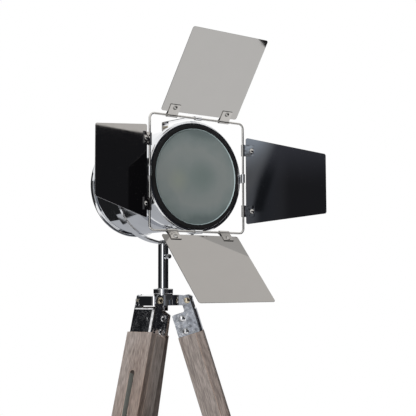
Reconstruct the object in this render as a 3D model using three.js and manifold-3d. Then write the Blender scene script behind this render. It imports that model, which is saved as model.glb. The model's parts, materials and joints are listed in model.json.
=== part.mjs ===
// Tripod floor lamp in the manner of an old film spotlight: a round head with a frosted lens and four
// hinged barn doors, carried in a bent yoke on a short stem, on three telescopic wooden legs.
//
// Millimetres, +Z up. The lamp shines along -Y. The origin is on the floor, under the middle of the
// whole object's box; the stem stands a little off it, at STEM_X, STEM_Y.

import * as THREE from "three";
import { mergeVertices } from "three/addons/utils/BufferGeometryUtils.js";
import Module from "manifold-3d";

const wasm = await Module();
wasm.setup();

// ---------------------------------------------------------------- driving dimensions

const STEM_X = 20.8;
const STEM_Y = -61;
const GAP = 0.3; // clearance between touching pieces
const FIT = 0.4; // radial clearance of a pin in its hole

const HEAD_Z = 1200; // height of the tilt axis
const HUB_BELOW = 217.5; // from the tilt axis down to the leg pivots
const PIVOT_Z = HEAD_Z - HUB_BELOW;

// Hub and stem
const PIVOT_RADIUS = 45; // from the stem's axis to a leg pivot
const LUG_END = 54;
const LUG_HALF_WIDTH = 21.7;
const LUG_CORNER = 6;
const HUB_BODY_RADIUS = 37;
const HUB_ABOVE_PIVOT = 8;
const HUB_BELOW_PIVOT = 9;
const HUB_CROWN = 4;
const STEM_RADIUS = 9.5;
const STEM_WALL = 1.5;
const COLLAR_RADIUS = 18;
const COLLAR_HEIGHT = 9.5;
const COLLAR_CHAMFER = 1.5;
const CENTRE_BOLT_RADIUS = 5;
const CENTRE_BOLT_HEAD = 10; // the hexagon's radius, and its height
const CENTRE_BOLT_REACH = 6; // the shank's end above the crown
const PAN_SCREW_Z = HEAD_Z - 137.6;
const PAN_BOSS_RADIUS = 4.5;
const PAN_BOSS_END = 13; // from the stem's axis
const PAN_SCREW_RADIUS = 2.2;
const PAN_GRIP_RADIUS = 4.2;
const PAN_GRIP_START = 14.5;
const PAN_GRIP_END = 21.5;

// Legs
const LEG_AZIMUTHS = { a: -67.5, b: 52.5, c: 172.5 }; // degrees from -Y towards +X
const LEG_LEAN = 17.4;
const LEG_WIDTH = 54.2;
const LEG_DEPTH = 46.6;
const LEG_FRONT = 11; // the outer face's distance outside the pivot
const FACE_BOARD = 14; // thickness of the outer board, which holds the slot
const LEG_TOP = 24; // below the pivot, along the leg
const LEG_BOTTOM = 560;
const BRACKET_HALF_WIDTH = 23.9;
const BRACKET_WALL = 1.5;
const BRACKET_FRONT = 10.6;
const BRACKET_BACK = -34.4;
const BRACKET_CORNER = 2.5;
const BRACKET_FACE_TOP = 15.5;
const BRACKET_SHOULDER = 18.5;
const BRACKET_BOTTOM = 60;
const EAR_RADIUS = 10.4;
const EAR_FILLET = 4; // where the ear meets the bracket's shoulder
const BRACKET_BACK_CORNER = 2;
const PIVOT_BOLT_RADIUS = 3.6;
const PIVOT_HEAD_RADIUS = 5.5;
const PIVOT_HEAD_HEIGHT = 3;
const SLOT_WIDTH = 10;
const SLOT_TOP = 128;
const LOCK_BOLT_DOWN = 480; // the lock bolt's place along the leg when the leg is fully out
const LOCK_BOLT_RADIUS = 4;
const RUNNER_WIDTH = 33.4; // the lower leg's section
const RUNNER_DEPTH = 23.4;
const RUNNER_TOP = 450;
const CHANNEL_TOP = 104; // where the runner's channel ends inside the upper leg
const FOOT_HEIGHT = 26;
const FOOT_OVERHANG = 2.5;
const LOCK_BOLT_COVER = 5; // wood left behind the lock bolt's end in the lower leg
const KNOB_START = -LEG_FRONT - 1; // the lock knob's seat, just off the outer board
const KNOB_RADIUS = 12;
const KNOB_HEIGHT = 14;
const KNOB_COLLAR_RADIUS = 8;
const KNOB_COLLAR = 3;
const KNOB_BORE = 12;

// Yoke
const YOKE_RADIUS = 112;
const YOKE_THICKNESS = 3.5;
const YOKE_WIDTH = 20;
const YOKE_TOP = 12;
const TILT_SCREW_RADIUS = 3;
const SPIGOT_RADIUS = 7.5;
const SPIGOT_NECK = 4;
const SPIGOT_LENGTH = 52;
const SPIGOT_FLANGE = 2; // thickness of the flange that rests on the stem
const SPIGOT_HEAD = 3; // height of the head riveted over inside the yoke
const YOKE_OUTER = YOKE_RADIUS + YOKE_THICKNESS / 2;
const YOKE_INNER = YOKE_RADIUS - YOKE_THICKNESS / 2;

// Head: radii about its axis and places along Y from the tilt axis
const DRUM_RADIUS = 92;
const DRUM_WALL = 1.6;
const DRUM_FRONT = -100;
const DRUM_BACK = 103;
const BEZEL_RADIUS = 99;
const BEZEL_FRONT = -106.6;
const BEZEL_BACK = -94;
const GASKET_FRONT = -108.8;
const GASKET_RADIUS = 92.5;
const GLASS_RADIUS = 85.2;
const RIM_RADIUS = 96.6;
const RIM_BACK = 107.2;

// Barn doors
const FRAME_SIDE = 200; // between the centre lines of opposite wires
const FRAME_RISE = 2.8; // the frame's centre above the head's axis
const FRAME_Y = -112.3;
const WIRE_RADIUS = 2;
const FRAME_CORNER = 9;
const LOOP_INNER = 2.35;
const LOOP_OUTER = 3.5;
const STRAP_THICKNESS = LOOP_OUTER - LOOP_INNER;
const DOOR_THICKNESS = 1.2;
const DOOR_CORNER = 4;
const CLIP_SPACING = 111.2;
const CLIP_LENGTH = 21;
const CLIP_LEAF = 21.5;
const CLIP_RIVET_AT = 16;
const RIVET_RADIUS = 2;
const RIVET_HEAD = 3.6;
const RIVET_DOME = 1.7;
const STRAP_WIDTH = 16;
const LONG_DOOR = { inner: 161.5, outer: 157.5, length: 157 };
const SIDE_DOOR = { inner: 159, outer: 112, length: 158 };
// The doors at rest: how far each is opened out of the wire frame's plane, how far its hinge edge is from
// the wire, and how far it has slid along it.
const DOORS = [
  { name: "top", ...LONG_DOOR, opening: 37.8, start: 7.4, slid: 0 },
  { name: "right", ...SIDE_DOOR, opening: 18.5, start: 7, slid: 4 },
  { name: "bottom", ...LONG_DOOR, opening: 43.2, start: 9.6, slid: 0 },
  { name: "left", ...SIDE_DOOR, opening: 28.4, start: 9.8, slid: -1 },
];

const HEAD_SIDES = 40;
const ROD_SIDES = 16;
const SMALL_SIDES = 10;
const RIVET_SIDES = 8;
const radians = THREE.MathUtils.degToRad;

// ---------------------------------------------------------------- materials

function finish(color, roughness, metalness, more = {}) {
  return () => new THREE.MeshStandardMaterial({ color, roughness, metalness, ...more });
}

const chrome = finish(0xd6d8da, 0.06, 1);
const oak = finish(0x96877c, 0.75, 0);
const rubber = finish(0x17181a, 0.8, 0);
const frosted = finish(0x70787a, 0.45, 0);
const opal = finish(0xefeee8, 0.3, 0);
const blackPlastic = finish(0x141414, 0.5, 0);

// ---------------------------------------------------------------- solids

const MERGE_DISTANCE = 1e-4;

function toSolid(geometry) {
  const bare = geometry.clone();
  bare.deleteAttribute("normal");
  bare.deleteAttribute("uv");
  const merged = mergeVertices(bare, MERGE_DISTANCE);
  return new wasm.Manifold(
    new wasm.Mesh({
      numProp: 3,
      vertProperties: new Float32Array(merged.getAttribute("position").array),
      triVerts: new Uint32Array(merged.index.array),
    }),
  );
}

function toGeometry(solid) {
  const { vertProperties, triVerts } = solid.getMesh();
  const geometry = new THREE.BufferGeometry();
  geometry.setAttribute("position", new THREE.BufferAttribute(vertProperties, 3));
  geometry.setIndex(new THREE.BufferAttribute(triVerts, 1));
  geometry.computeVertexNormals();
  return geometry;
}

function join(...pieces) {
  return toGeometry(pieces.map(toSolid).reduce((whole, piece) => whole.add(piece)));
}

function cut(body, ...tools) {
  const start = toSolid(body);
  return toGeometry(tools.map(toSolid).reduce((left, tool) => left.subtract(tool), start));
}

function common(body, other) {
  return toGeometry(toSolid(body).intersect(toSolid(other)));
}

// A block between two opposite corners.
function block(low, high) {
  const size = high.map((value, i) => value - low[i]);
  const middle = high.map((value, i) => (value + low[i]) / 2);
  return new THREE.BoxGeometry(...size).translate(...middle);
}

// A round rod along x, y or z, from one coordinate to another on that axis.
function rod(axis, radius, from, to, sides = ROD_SIDES) {
  const geometry = new THREE.CylinderGeometry(radius, radius, to - from, sides);
  geometry.translate(0, (from + to) / 2, 0);
  if (axis === "x") geometry.rotateZ(-Math.PI / 2);
  if (axis === "z") geometry.rotateX(Math.PI / 2);
  return geometry;
}

// A turned piece about the Y axis. Its profile is a list of [radius, y] and ends on the axis or closes.
function turned(profile, sides = HEAD_SIDES) {
  const points = profile.map(([radius, y]) => new THREE.Vector2(radius, y));
  const onAxis = profile[0][0] === 0 && profile.at(-1)[0] === 0;
  if (!onAxis) points.push(points[0].clone());
  if (THREE.ShapeUtils.area(points) < 0) points.reverse();
  return new THREE.LatheGeometry(points, sides);
}

// The same about the Z axis: its profile is a list of [radius, z].
function turnedUpright(profile, sides = ROD_SIDES) {
  return turned(profile, sides).rotateX(Math.PI / 2);
}

// A flat shape with a thickness, centred on its plane.
function plate(shape, thickness, curveSegments = 6) {
  const options = { depth: thickness, bevelEnabled: false, curveSegments };
  return new THREE.ExtrudeGeometry(shape, options).translate(0, 0, -thickness / 2);
}

// Turns a plate's plane: its own x, y and thickness lie along the three given directions.
function facing(geometry, x, y, thickness) {
  const basis = new THREE.Matrix4().makeBasis(
    new THREE.Vector3(...x),
    new THREE.Vector3(...y),
    new THREE.Vector3(...thickness),
  );
  return geometry.applyMatrix4(basis);
}

// A closed outline through corners, each [x, y, radius], with the corner rounded by its radius.
function rounded(corners) {
  const shape = new THREE.Shape();
  corners.forEach(([x, y, radius = 0], i) => {
    const corner = new THREE.Vector2(x, y);
    const before = new THREE.Vector2(...corners.at(i - 1).slice(0, 2));
    const after = new THREE.Vector2(...corners[(i + 1) % corners.length].slice(0, 2));
    const back = before.sub(corner).normalize();
    const ahead = after.sub(corner).normalize();
    const half = Math.acos(THREE.MathUtils.clamp(back.dot(ahead), -1, 1)) / 2;
    const reach = radius > 0 ? radius / Math.tan(half) : 0;
    const start = corner.clone().addScaledVector(back, reach);
    const end = corner.clone().addScaledVector(ahead, reach);
    if (i === 0) shape.moveTo(start.x, start.y);
    else shape.lineTo(start.x, start.y);
    if (radius > 0) {
      const bisector = back.clone().add(ahead).normalize();
      const centre = corner.clone().addScaledVector(bisector, radius / Math.sin(half));
      const from = start.clone().sub(centre).angle();
      const to = end.clone().sub(centre).angle();
      const turn = Math.atan2(Math.sin(to - from), Math.cos(to - from));
      shape.absarc(centre.x, centre.y, radius, from, from + turn, turn < 0);
    }
  });
  shape.closePath();
  return shape;
}

// A path that puts one station of a sweep at each of its points, so bends can be fine and straights long.
class StationPath extends THREE.Curve {
  constructor(stations) {
    super();
    this.stations = stations;
  }
  getPoint(t, target = new THREE.Vector3()) {
    const along = THREE.MathUtils.clamp(t, 0, 1) * (this.stations.length - 1);
    const i = Math.min(Math.floor(along), this.stations.length - 2);
    return target.lerpVectors(this.stations[i], this.stations[i + 1], along - i);
  }
  getUtoTmapping(u) {
    return u;
  }
}

// ---------------------------------------------------------------- scene graph

const lamp = new THREE.Group();
lamp.position.set(STEM_X, STEM_Y, 0);

const head = new THREE.Group();
head.position.z = HEAD_Z;
lamp.add(head);

function add(parent, name, geometry, material) {
  const mesh = new THREE.Mesh(geometry, material());
  mesh.name = name;
  parent.add(mesh);
  return mesh;
}

// ---------------------------------------------------------------- hub and stem

const HUB_TOP = PIVOT_Z + HUB_ABOVE_PIVOT;
const HUB_BOTTOM = PIVOT_Z - HUB_BELOW_PIVOT;
const CROWN_TOP = HUB_TOP + HUB_CROWN;
const COLLAR_TOP = CROWN_TOP + GAP + COLLAR_HEIGHT;
const STEM_TOP = HEAD_Z - YOKE_OUTER - SPIGOT_FLANGE - 2 * GAP;

function hubLug(azimuth) {
  const outline = rounded([
    [-LUG_HALF_WIDTH, 0],
    [-LUG_HALF_WIDTH, -LUG_END, LUG_CORNER],
    [LUG_HALF_WIDTH, -LUG_END, LUG_CORNER],
    [LUG_HALF_WIDTH, 0],
  ]);
  const lug = plate(outline, HUB_TOP - HUB_BOTTOM, 4).translate(0, 0, (HUB_TOP + HUB_BOTTOM) / 2);
  const pin = rod("x", PIVOT_BOLT_RADIUS + FIT, -LUG_END, LUG_END, SMALL_SIDES);
  pin.translate(0, -PIVOT_RADIUS, PIVOT_Z);
  return cut(lug, pin).rotateZ(radians(azimuth));
}

function makeHub() {
  const crown = turnedUpright(
    [
      [0, HUB_BOTTOM],
      [HUB_BODY_RADIUS, HUB_BOTTOM],
      [HUB_BODY_RADIUS, HUB_TOP],
      [HUB_BODY_RADIUS - HUB_CROWN, CROWN_TOP],
      [0, CROWN_TOP],
    ],
    HEAD_SIDES / 2,
  );
  const whole = join(crown, ...Object.values(LEG_AZIMUTHS).map(hubLug));
  const bore = rod("z", CENTRE_BOLT_RADIUS + FIT, HUB_BOTTOM - 1, CROWN_TOP + 1, SMALL_SIDES);
  add(lamp, "hub_casting", cut(whole, bore), chrome);
}

function makeCollar() {
  const inside = STEM_RADIUS + GAP;
  const bottom = CROWN_TOP + GAP;
  const profile = [
    [inside, bottom],
    [COLLAR_RADIUS, bottom],
    [COLLAR_RADIUS, COLLAR_TOP - COLLAR_CHAMFER],
    [COLLAR_RADIUS - COLLAR_CHAMFER, COLLAR_TOP],
    [inside, COLLAR_TOP],
  ];
  add(lamp, "stem_collar", turnedUpright(profile, HEAD_SIDES / 2), chrome);
}

function makeStem() {
  const sides = HEAD_SIDES / 2;
  const inside = STEM_RADIUS - STEM_WALL;
  const bottom = CROWN_TOP + GAP;
  const wall = [
    [inside, bottom],
    [STEM_RADIUS, bottom],
    [STEM_RADIUS, STEM_TOP],
    [inside, STEM_TOP],
  ];
  const boss = rod("y", PAN_BOSS_RADIUS, -PAN_BOSS_END, 1 - STEM_RADIUS);
  boss.translate(0, 0, PAN_SCREW_Z);
  const bore = rod("y", PAN_SCREW_RADIUS + FIT, -PAN_BOSS_END - 1, 0, SMALL_SIDES);
  bore.translate(0, 0, PAN_SCREW_Z);
  add(lamp, "stem_tube", cut(join(turnedUpright(wall, sides), boss), bore), chrome);
}

function makeCentreBolt() {
  const headTop = HUB_BOTTOM - GAP;
  const hex = rod("z", CENTRE_BOLT_HEAD, headTop - CENTRE_BOLT_HEAD, headTop, 6);
  const shank = rod("z", CENTRE_BOLT_RADIUS, headTop - 1, CROWN_TOP + CENTRE_BOLT_REACH, SMALL_SIDES);
  add(lamp, "hub_bottom_bolt", join(hex, shank), chrome);
}

// The knurled screw that clamps the yoke's spigot in the stem.
function makePanScrew() {
  const shank = rod("y", PAN_SCREW_RADIUS, -PAN_GRIP_START - 1, -SPIGOT_RADIUS - FIT, SMALL_SIDES);
  const grip = rod("y", PAN_GRIP_RADIUS, -PAN_GRIP_END, -PAN_GRIP_START);
  add(lamp, "pan_lock_screw", join(shank, grip).translate(0, 0, PAN_SCREW_Z), chrome);
}

// ---------------------------------------------------------------- legs
// A leg is drawn upright and hanging from its pivot: x along the pivot, -y outwards, -z down the leg.

// The channel section of the bracket, cut to its side outline, with ears round the pivot.
function bracketGeometry() {
  const front = -BRACKET_FRONT;
  const back = -BRACKET_BACK;
  const inner = BRACKET_HALF_WIDTH - BRACKET_WALL;
  const innerCorner = BRACKET_CORNER - BRACKET_WALL;
  const section = rounded([
    [-BRACKET_HALF_WIDTH, back],
    [-BRACKET_HALF_WIDTH, front, BRACKET_CORNER],
    [BRACKET_HALF_WIDTH, front, BRACKET_CORNER],
    [BRACKET_HALF_WIDTH, back],
    [inner, back],
    [inner, front + BRACKET_WALL, innerCorner],
    [-inner, front + BRACKET_WALL, innerCorner],
    [-inner, back],
  ]);
  const height = 2 * BRACKET_BOTTOM;
  const channel = plate(section, height, 3);
  const side = rounded([
    [front, EAR_RADIUS, EAR_RADIUS - 0.1],
    [EAR_RADIUS, EAR_RADIUS, EAR_RADIUS - 0.1],
    [EAR_RADIUS, -BRACKET_SHOULDER, EAR_FILLET],
    [back, -BRACKET_SHOULDER, BRACKET_BACK_CORNER],
    [back, -BRACKET_BOTTOM],
    [front, -BRACKET_BOTTOM],
  ]);
  const across = 3 * BRACKET_HALF_WIDTH;
  const outline = facing(plate(side, across, 5), [0, 1, 0], [0, 0, 1], [1, 0, 0]);
  const doorway = block(
    [-inner, front - 1, -BRACKET_FACE_TOP],
    [inner, front + BRACKET_CORNER, EAR_RADIUS + 1],
  );
  const pin = rod("x", PIVOT_BOLT_RADIUS + FIT, -across, across, SMALL_SIDES);
  return cut(common(channel, outline), doorway, pin);
}

function pivotBoltGeometry() {
  const outside = BRACKET_HALF_WIDTH + GAP;
  const shank = rod("x", PIVOT_BOLT_RADIUS, -outside - 1, outside + 1, SMALL_SIDES);
  const ends = [-1, 1].map((side) => {
    const near = side * outside;
    const far = side * (outside + PIVOT_HEAD_HEIGHT);
    return rod("x", PIVOT_HEAD_RADIUS, Math.min(near, far), Math.max(near, far), SMALL_SIDES);
  });
  return join(shank, ...ends);
}

const REBATE_HALF_WIDTH = BRACKET_HALF_WIDTH - BRACKET_WALL - GAP;
const REBATE_FRONT = BRACKET_FRONT - BRACKET_WALL - GAP;
const BOARD_JOINT = LEG_FRONT - FACE_BOARD; // from the pivot out to where board and channel meet
const LEG_BACK = LEG_FRONT - LEG_DEPTH;
const RUNNER_FRONT = BOARD_JOINT - GAP;
const RUNNER_BACK = RUNNER_FRONT - RUNNER_DEPTH;
const SHOULDER = BRACKET_BOTTOM + GAP;

// The outer board: full size below the bracket, cut in to fit inside it, with the lock bolt's slot.
function faceBoardGeometry() {
  const back = -BOARD_JOINT;
  const body = block([-LEG_WIDTH / 2, -LEG_FRONT, -LEG_BOTTOM], [LEG_WIDTH / 2, back, -SHOULDER]);
  const tongue = block(
    [-REBATE_HALF_WIDTH, -REBATE_FRONT, -SHOULDER - 1],
    [REBATE_HALF_WIDTH, back, -LEG_TOP],
  );
  const corners = [-1, 1].map((side) => {
    const half = BRACKET_CORNER / 2;
    const chamfer = block([-half, -half, -SHOULDER], [half, half, 0]).rotateZ(Math.PI / 4);
    return chamfer.translate(side * REBATE_HALF_WIDTH, -REBATE_FRONT, 0);
  });
  const slotBottom = LOCK_BOLT_DOWN + LOCK_BOLT_RADIUS + 0.5;
  const half = SLOT_WIDTH / 2;
  const outline = rounded([
    [-half, -SLOT_TOP, half - 0.05],
    [half, -SLOT_TOP, half - 0.05],
    [half, -slotBottom, half - 0.05],
    [-half, -slotBottom, half - 0.05],
  ]);
  const slot = facing(plate(outline, 2 * LEG_DEPTH, 4), [1, 0, 0], [0, 0, 1], [0, -1, 0]);
  return cut(join(body, tongue), ...corners, slot);
}

// The rest of the upper leg: a channel that the lower leg runs in, closed at the front by the face board.
function channelGeometry() {
  const front = -BOARD_JOINT + GAP;
  const back = -LEG_BACK;
  const tongueBack = -BRACKET_BACK;
  const body = block([-LEG_WIDTH / 2, front, -LEG_BOTTOM], [LEG_WIDTH / 2, back, -SHOULDER]);
  const tongue = block(
    [-REBATE_HALF_WIDTH, front, -SHOULDER - 1],
    [REBATE_HALF_WIDTH, tongueBack, -LEG_TOP],
  );
  const half = RUNNER_WIDTH / 2 + GAP;
  const groove = block(
    [-half, front - 1, -LEG_BOTTOM - 1],
    [half, -RUNNER_BACK + GAP, -CHANNEL_TOP],
  );
  return cut(join(body, tongue), groove);
}

// The floor, in a leg's own frame: everything under it is cut away.
function floorCutter(legLength) {
  const below = block([-100, -200, -100], [100, 200, 0]);
  return below.rotateX(radians(LEG_LEAN)).translate(0, 0, -legLength);
}

const LEG_TO_FLOOR = PIVOT_Z / Math.cos(radians(LEG_LEAN));
const FOOT_TOP = LEG_TO_FLOOR - FOOT_HEIGHT;

function lowerLegGeometry() {
  const half = RUNNER_WIDTH / 2;
  const bar = block([-half, -RUNNER_FRONT, -FOOT_TOP], [half, -RUNNER_BACK, -RUNNER_TOP]);
  const boltEnd = -RUNNER_BACK - LOCK_BOLT_COVER;
  const bore = rod("y", LOCK_BOLT_RADIUS + FIT, -LEG_DEPTH, boltEnd + 1, SMALL_SIDES);
  bore.translate(0, 0, -LOCK_BOLT_DOWN);
  return cut(bar, bore);
}

function footGeometry() {
  const half = RUNNER_WIDTH / 2 + FOOT_OVERHANG;
  const front = -RUNNER_FRONT - FOOT_OVERHANG;
  const back = -RUNNER_BACK + FOOT_OVERHANG;
  const pad = block([-half, front, -LEG_TO_FLOOR - FOOT_HEIGHT], [half, back, -FOOT_TOP - GAP]);
  return cut(pad, floorCutter(LEG_TO_FLOOR));
}

function lockBoltGeometry() {
  const end = KNOB_START - KNOB_BORE + 1;
  const shank = rod("y", LOCK_BOLT_RADIUS, end, -RUNNER_BACK - LOCK_BOLT_COVER, SMALL_SIDES);
  return shank.translate(0, 0, -LOCK_BOLT_DOWN);
}

function lockKnobGeometry() {
  const grip = rod("y", KNOB_RADIUS, KNOB_START - KNOB_HEIGHT, KNOB_START - KNOB_COLLAR);
  const collar = rod("y", KNOB_COLLAR_RADIUS, KNOB_START - KNOB_COLLAR - 1, KNOB_START);
  const bore = rod("y", LOCK_BOLT_RADIUS + FIT, KNOB_START - KNOB_BORE, KNOB_START + 1, SMALL_SIDES);
  return cut(join(grip, collar), bore).translate(0, 0, -LOCK_BOLT_DOWN);
}

function makeLeg(letter, azimuth) {
  const spoke = new THREE.Group();
  spoke.rotation.z = radians(azimuth);
  lamp.add(spoke);
  const leg = new THREE.Group();
  leg.position.set(0, -PIVOT_RADIUS, PIVOT_Z);
  leg.rotation.x = -radians(LEG_LEAN);
  spoke.add(leg);
  add(leg, `leg_bracket_${letter}`, bracketGeometry(), chrome);
  add(leg, `leg_pivot_bolt_${letter}`, pivotBoltGeometry(), chrome);
  add(leg, `leg_face_board_${letter}`, faceBoardGeometry(), oak);
  add(leg, `leg_channel_${letter}`, channelGeometry(), oak);
  add(leg, `lower_leg_${letter}`, lowerLegGeometry(), oak);
  add(leg, `leg_lock_bolt_${letter}`, lockBoltGeometry(), chrome);
  add(leg, `leg_lock_knob_${letter}`, lockKnobGeometry(), blackPlastic);
  add(leg, `foot_${letter}`, footGeometry(), rubber);
}

// ---------------------------------------------------------------- yoke

// A flat bar bent to a half circle under the tilt axis, with straight round-ended arms beside it.
function makeYoke() {
  const band = new THREE.Shape();
  band.moveTo(YOKE_OUTER, YOKE_TOP);
  band.lineTo(YOKE_INNER, YOKE_TOP);
  band.lineTo(YOKE_INNER, 0);
  band.absarc(0, 0, YOKE_INNER, 0, -Math.PI, true);
  band.lineTo(-YOKE_INNER, YOKE_TOP);
  band.lineTo(-YOKE_OUTER, YOKE_TOP);
  band.lineTo(-YOKE_OUTER, 0);
  band.absarc(0, 0, YOKE_OUTER, Math.PI, 2 * Math.PI, false);
  band.closePath();
  const bar = facing(plate(band, YOKE_WIDTH, 24), [1, 0, 0], [0, 0, 1], [0, -1, 0]);
  const half = YOKE_WIDTH / 2 + 1;
  const side = rounded([
    [-half, -YOKE_OUTER - 1],
    [half, -YOKE_OUTER - 1],
    [half, YOKE_TOP, half - 0.1],
    [-half, YOKE_TOP, half - 0.1],
  ]);
  const outline = facing(plate(side, 3 * YOKE_OUTER, 5), [0, 1, 0], [0, 0, 1], [1, 0, 0]);
  const pivots = rod("x", TILT_SCREW_RADIUS + FIT, -2 * YOKE_OUTER, 2 * YOKE_OUTER, SMALL_SIDES);
  const foot = rod("z", SPIGOT_NECK + FIT, -YOKE_OUTER - 2, -YOKE_INNER + 2, SMALL_SIDES);
  add(head, "yoke", cut(common(bar, outline), pivots, foot), chrome);
}

// The pin that turns in the stem: its neck goes through the yoke and is headed over above it.
function makeSpigot() {
  const under = -YOKE_OUTER - GAP;
  const profile = [
    [0, under - SPIGOT_LENGTH],
    [SPIGOT_RADIUS, under - SPIGOT_LENGTH],
    [SPIGOT_RADIUS, under - SPIGOT_FLANGE],
    [STEM_RADIUS, under - SPIGOT_FLANGE],
    [STEM_RADIUS, under],
    [SPIGOT_NECK, under],
    [SPIGOT_NECK, GAP - YOKE_INNER],
    [2 * SPIGOT_NECK, GAP - YOKE_INNER],
    [1.5 * SPIGOT_NECK, SPIGOT_HEAD - YOKE_INNER],
    [0, SPIGOT_HEAD - YOKE_INNER],
  ];
  add(head, "yoke_spigot", turnedUpright(profile, HEAD_SIDES / 2), chrome);
}

const BOSS_RADIUS = 9;
const BOSS_END = YOKE_INNER - 1.2; // clear of the yoke where it starts to curve in
const TILT_SCREW_REACH = 8; // into the boss
const TILT_KNOB_RADIUS = 13;
const TILT_KNOB_HEIGHT = 15;

function tiltKnobGeometry(side) {
  const start = YOKE_OUTER + GAP;
  const gripStart = start + KNOB_COLLAR;
  const shank = rod("x", TILT_SCREW_RADIUS, BOSS_END - TILT_SCREW_REACH, start + 1, SMALL_SIDES);
  const collar = rod("x", KNOB_COLLAR_RADIUS, start, gripStart + 1);
  const grip = rod("x", TILT_KNOB_RADIUS, gripStart, start + TILT_KNOB_HEIGHT);
  const knob = join(shank, collar, grip);
  return side < 0 ? knob.rotateZ(Math.PI) : knob;
}

// ---------------------------------------------------------------- head

// The tube of the head, with a boss on each side that the tilt knobs screw into.
function makeDrum() {
  const inside = DRUM_RADIUS - DRUM_WALL;
  const tube = turned([
    [inside, DRUM_FRONT],
    [DRUM_RADIUS, DRUM_FRONT],
    [DRUM_RADIUS, DRUM_BACK],
    [inside, DRUM_BACK],
  ]);
  const bosses = [
    rod("x", BOSS_RADIUS, DRUM_RADIUS - 1, BOSS_END),
    rod("x", BOSS_RADIUS, -BOSS_END, 1 - DRUM_RADIUS),
  ];
  const boreEnd = BOSS_END - TILT_SCREW_REACH - 2;
  const bores = [
    rod("x", TILT_SCREW_RADIUS + FIT, boreEnd, BOSS_END + 1, SMALL_SIDES),
    rod("x", TILT_SCREW_RADIUS + FIT, -BOSS_END - 1, -boreEnd, SMALL_SIDES),
  ];
  add(head, "drum", cut(join(tube, ...bosses), ...bores), chrome);
}

const BACK_WALL = 1.6;
const BACK_DOME = 10;
const DOME_SHOULDER = 70; // radius where the dome turns down to the rim
const DOME_FOOT = 84;
const SKIRT = 7; // the rolled rim's length over the drum
const VENT_HEIGHT = 4;
const VENT_SPACING = 9;
const VENT_MIDDLE = 32; // height of the middle vent above the head's axis
const VENT_LENGTH = 52;
const GLAND_BELOW = 55; // from the head's axis down to the cord gland
const GLAND_NECK = 5;
const GLAND_REACH = 6; // into the cover
const GLAND_LENGTH = 10.5; // out of it

// A pressed cover: a skirt over the drum's end, a rolled rim, and a shallow dome with vents.
function makeRearCover() {
  const inside = DRUM_RADIUS + GAP;
  const seat = DRUM_BACK + GAP;
  const cover = turned([
    [0, seat + BACK_DOME],
    [DOME_SHOULDER, seat + BACK_DOME - 2],
    [DOME_FOOT, seat],
    [inside, seat],
    [inside, seat - SKIRT],
    [RIM_RADIUS - 1, seat - SKIRT],
    [RIM_RADIUS, seat - SKIRT + 1.5],
    [RIM_RADIUS, RIM_BACK - 2],
    [RIM_RADIUS - 2, RIM_BACK],
    [DOME_FOOT + 2, RIM_BACK],
    [DOME_SHOULDER + 1, seat + BACK_DOME + BACK_WALL - 1],
    [0, seat + BACK_DOME + BACK_WALL + 1],
  ]);
  const vents = [-2, -1, 0, 1, 2].map((row) => {
    const half = VENT_LENGTH / 2 - 5 * Math.abs(row);
    const middle = VENT_MIDDLE + VENT_SPACING * row;
    return block(
      [-half, seat, middle - VENT_HEIGHT / 2],
      [half, RIM_BACK + BACK_DOME, middle + VENT_HEIGHT / 2],
    );
  });
  const glandHole = rod("y", GLAND_NECK + 0.5, seat, RIM_BACK + BACK_DOME, SMALL_SIDES);
  glandHole.translate(0, 0, -GLAND_BELOW);
  add(head, "rear_cover", cut(cover, ...vents, glandHole), chrome);
}

const BEZEL_LIP = 1.4; // the inner flange that the gasket is pressed against
const LIP_RADIUS = 86;

function makeBezel() {
  const overDrum = DRUM_RADIUS + GAP;
  const seat = DRUM_FRONT - FIT;
  const gasketHole = GASKET_RADIUS + GAP;
  const bezel = turned([
    [gasketHole, BEZEL_FRONT],
    [BEZEL_RADIUS - 2, BEZEL_FRONT],
    [BEZEL_RADIUS, BEZEL_FRONT + 2],
    [BEZEL_RADIUS, BEZEL_BACK],
    [overDrum, BEZEL_BACK],
    [overDrum, seat],
    [LIP_RADIUS, seat],
    [LIP_RADIUS, seat - BEZEL_LIP],
    [gasketHole, seat - BEZEL_LIP],
  ]);
  add(head, "bezel", bezel, chrome);
}

const LENS_FRONT = GASKET_FRONT + 1.6;
const LENS_THICKNESS = 3;
const LENS_EDGE = GASKET_RADIUS - 3;

function makeGasket() {
  const back = DRUM_FRONT - FIT - BEZEL_LIP - GAP;
  const ring = turned([
    [GLASS_RADIUS, GASKET_FRONT + 0.8],
    [GLASS_RADIUS + 2, GASKET_FRONT],
    [GASKET_RADIUS - 1, GASKET_FRONT],
    [GASKET_RADIUS, GASKET_FRONT + 1],
    [GASKET_RADIUS, back],
    [GLASS_RADIUS, back],
    [GLASS_RADIUS, LENS_FRONT + LENS_THICKNESS + GAP],
    [LENS_EDGE + GAP, LENS_FRONT + LENS_THICKNESS + GAP],
    [LENS_EDGE + GAP, LENS_FRONT - GAP],
    [GLASS_RADIUS, LENS_FRONT - GAP],
  ]);
  add(head, "lens_gasket", ring, rubber);
}

function makeLens() {
  const back = LENS_FRONT + LENS_THICKNESS;
  const disc = turned([
    [0, LENS_FRONT],
    [LENS_EDGE, LENS_FRONT],
    [LENS_EDGE, back],
    [0, back],
  ]);
  add(head, "lens", disc, frosted);
}

const HOLDER_RADIUS = 20;
const HOLDER_FRONT = 34;
const HOLDER_BACK = 92;
const HOLDER_BORE = 22; // depth of the bulb's socket
const BULB_NECK = 12.5;
const BULB_RADIUS = 30;
const BULB_MIDDLE = -12; // the globe's middle, along the head's axis

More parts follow.
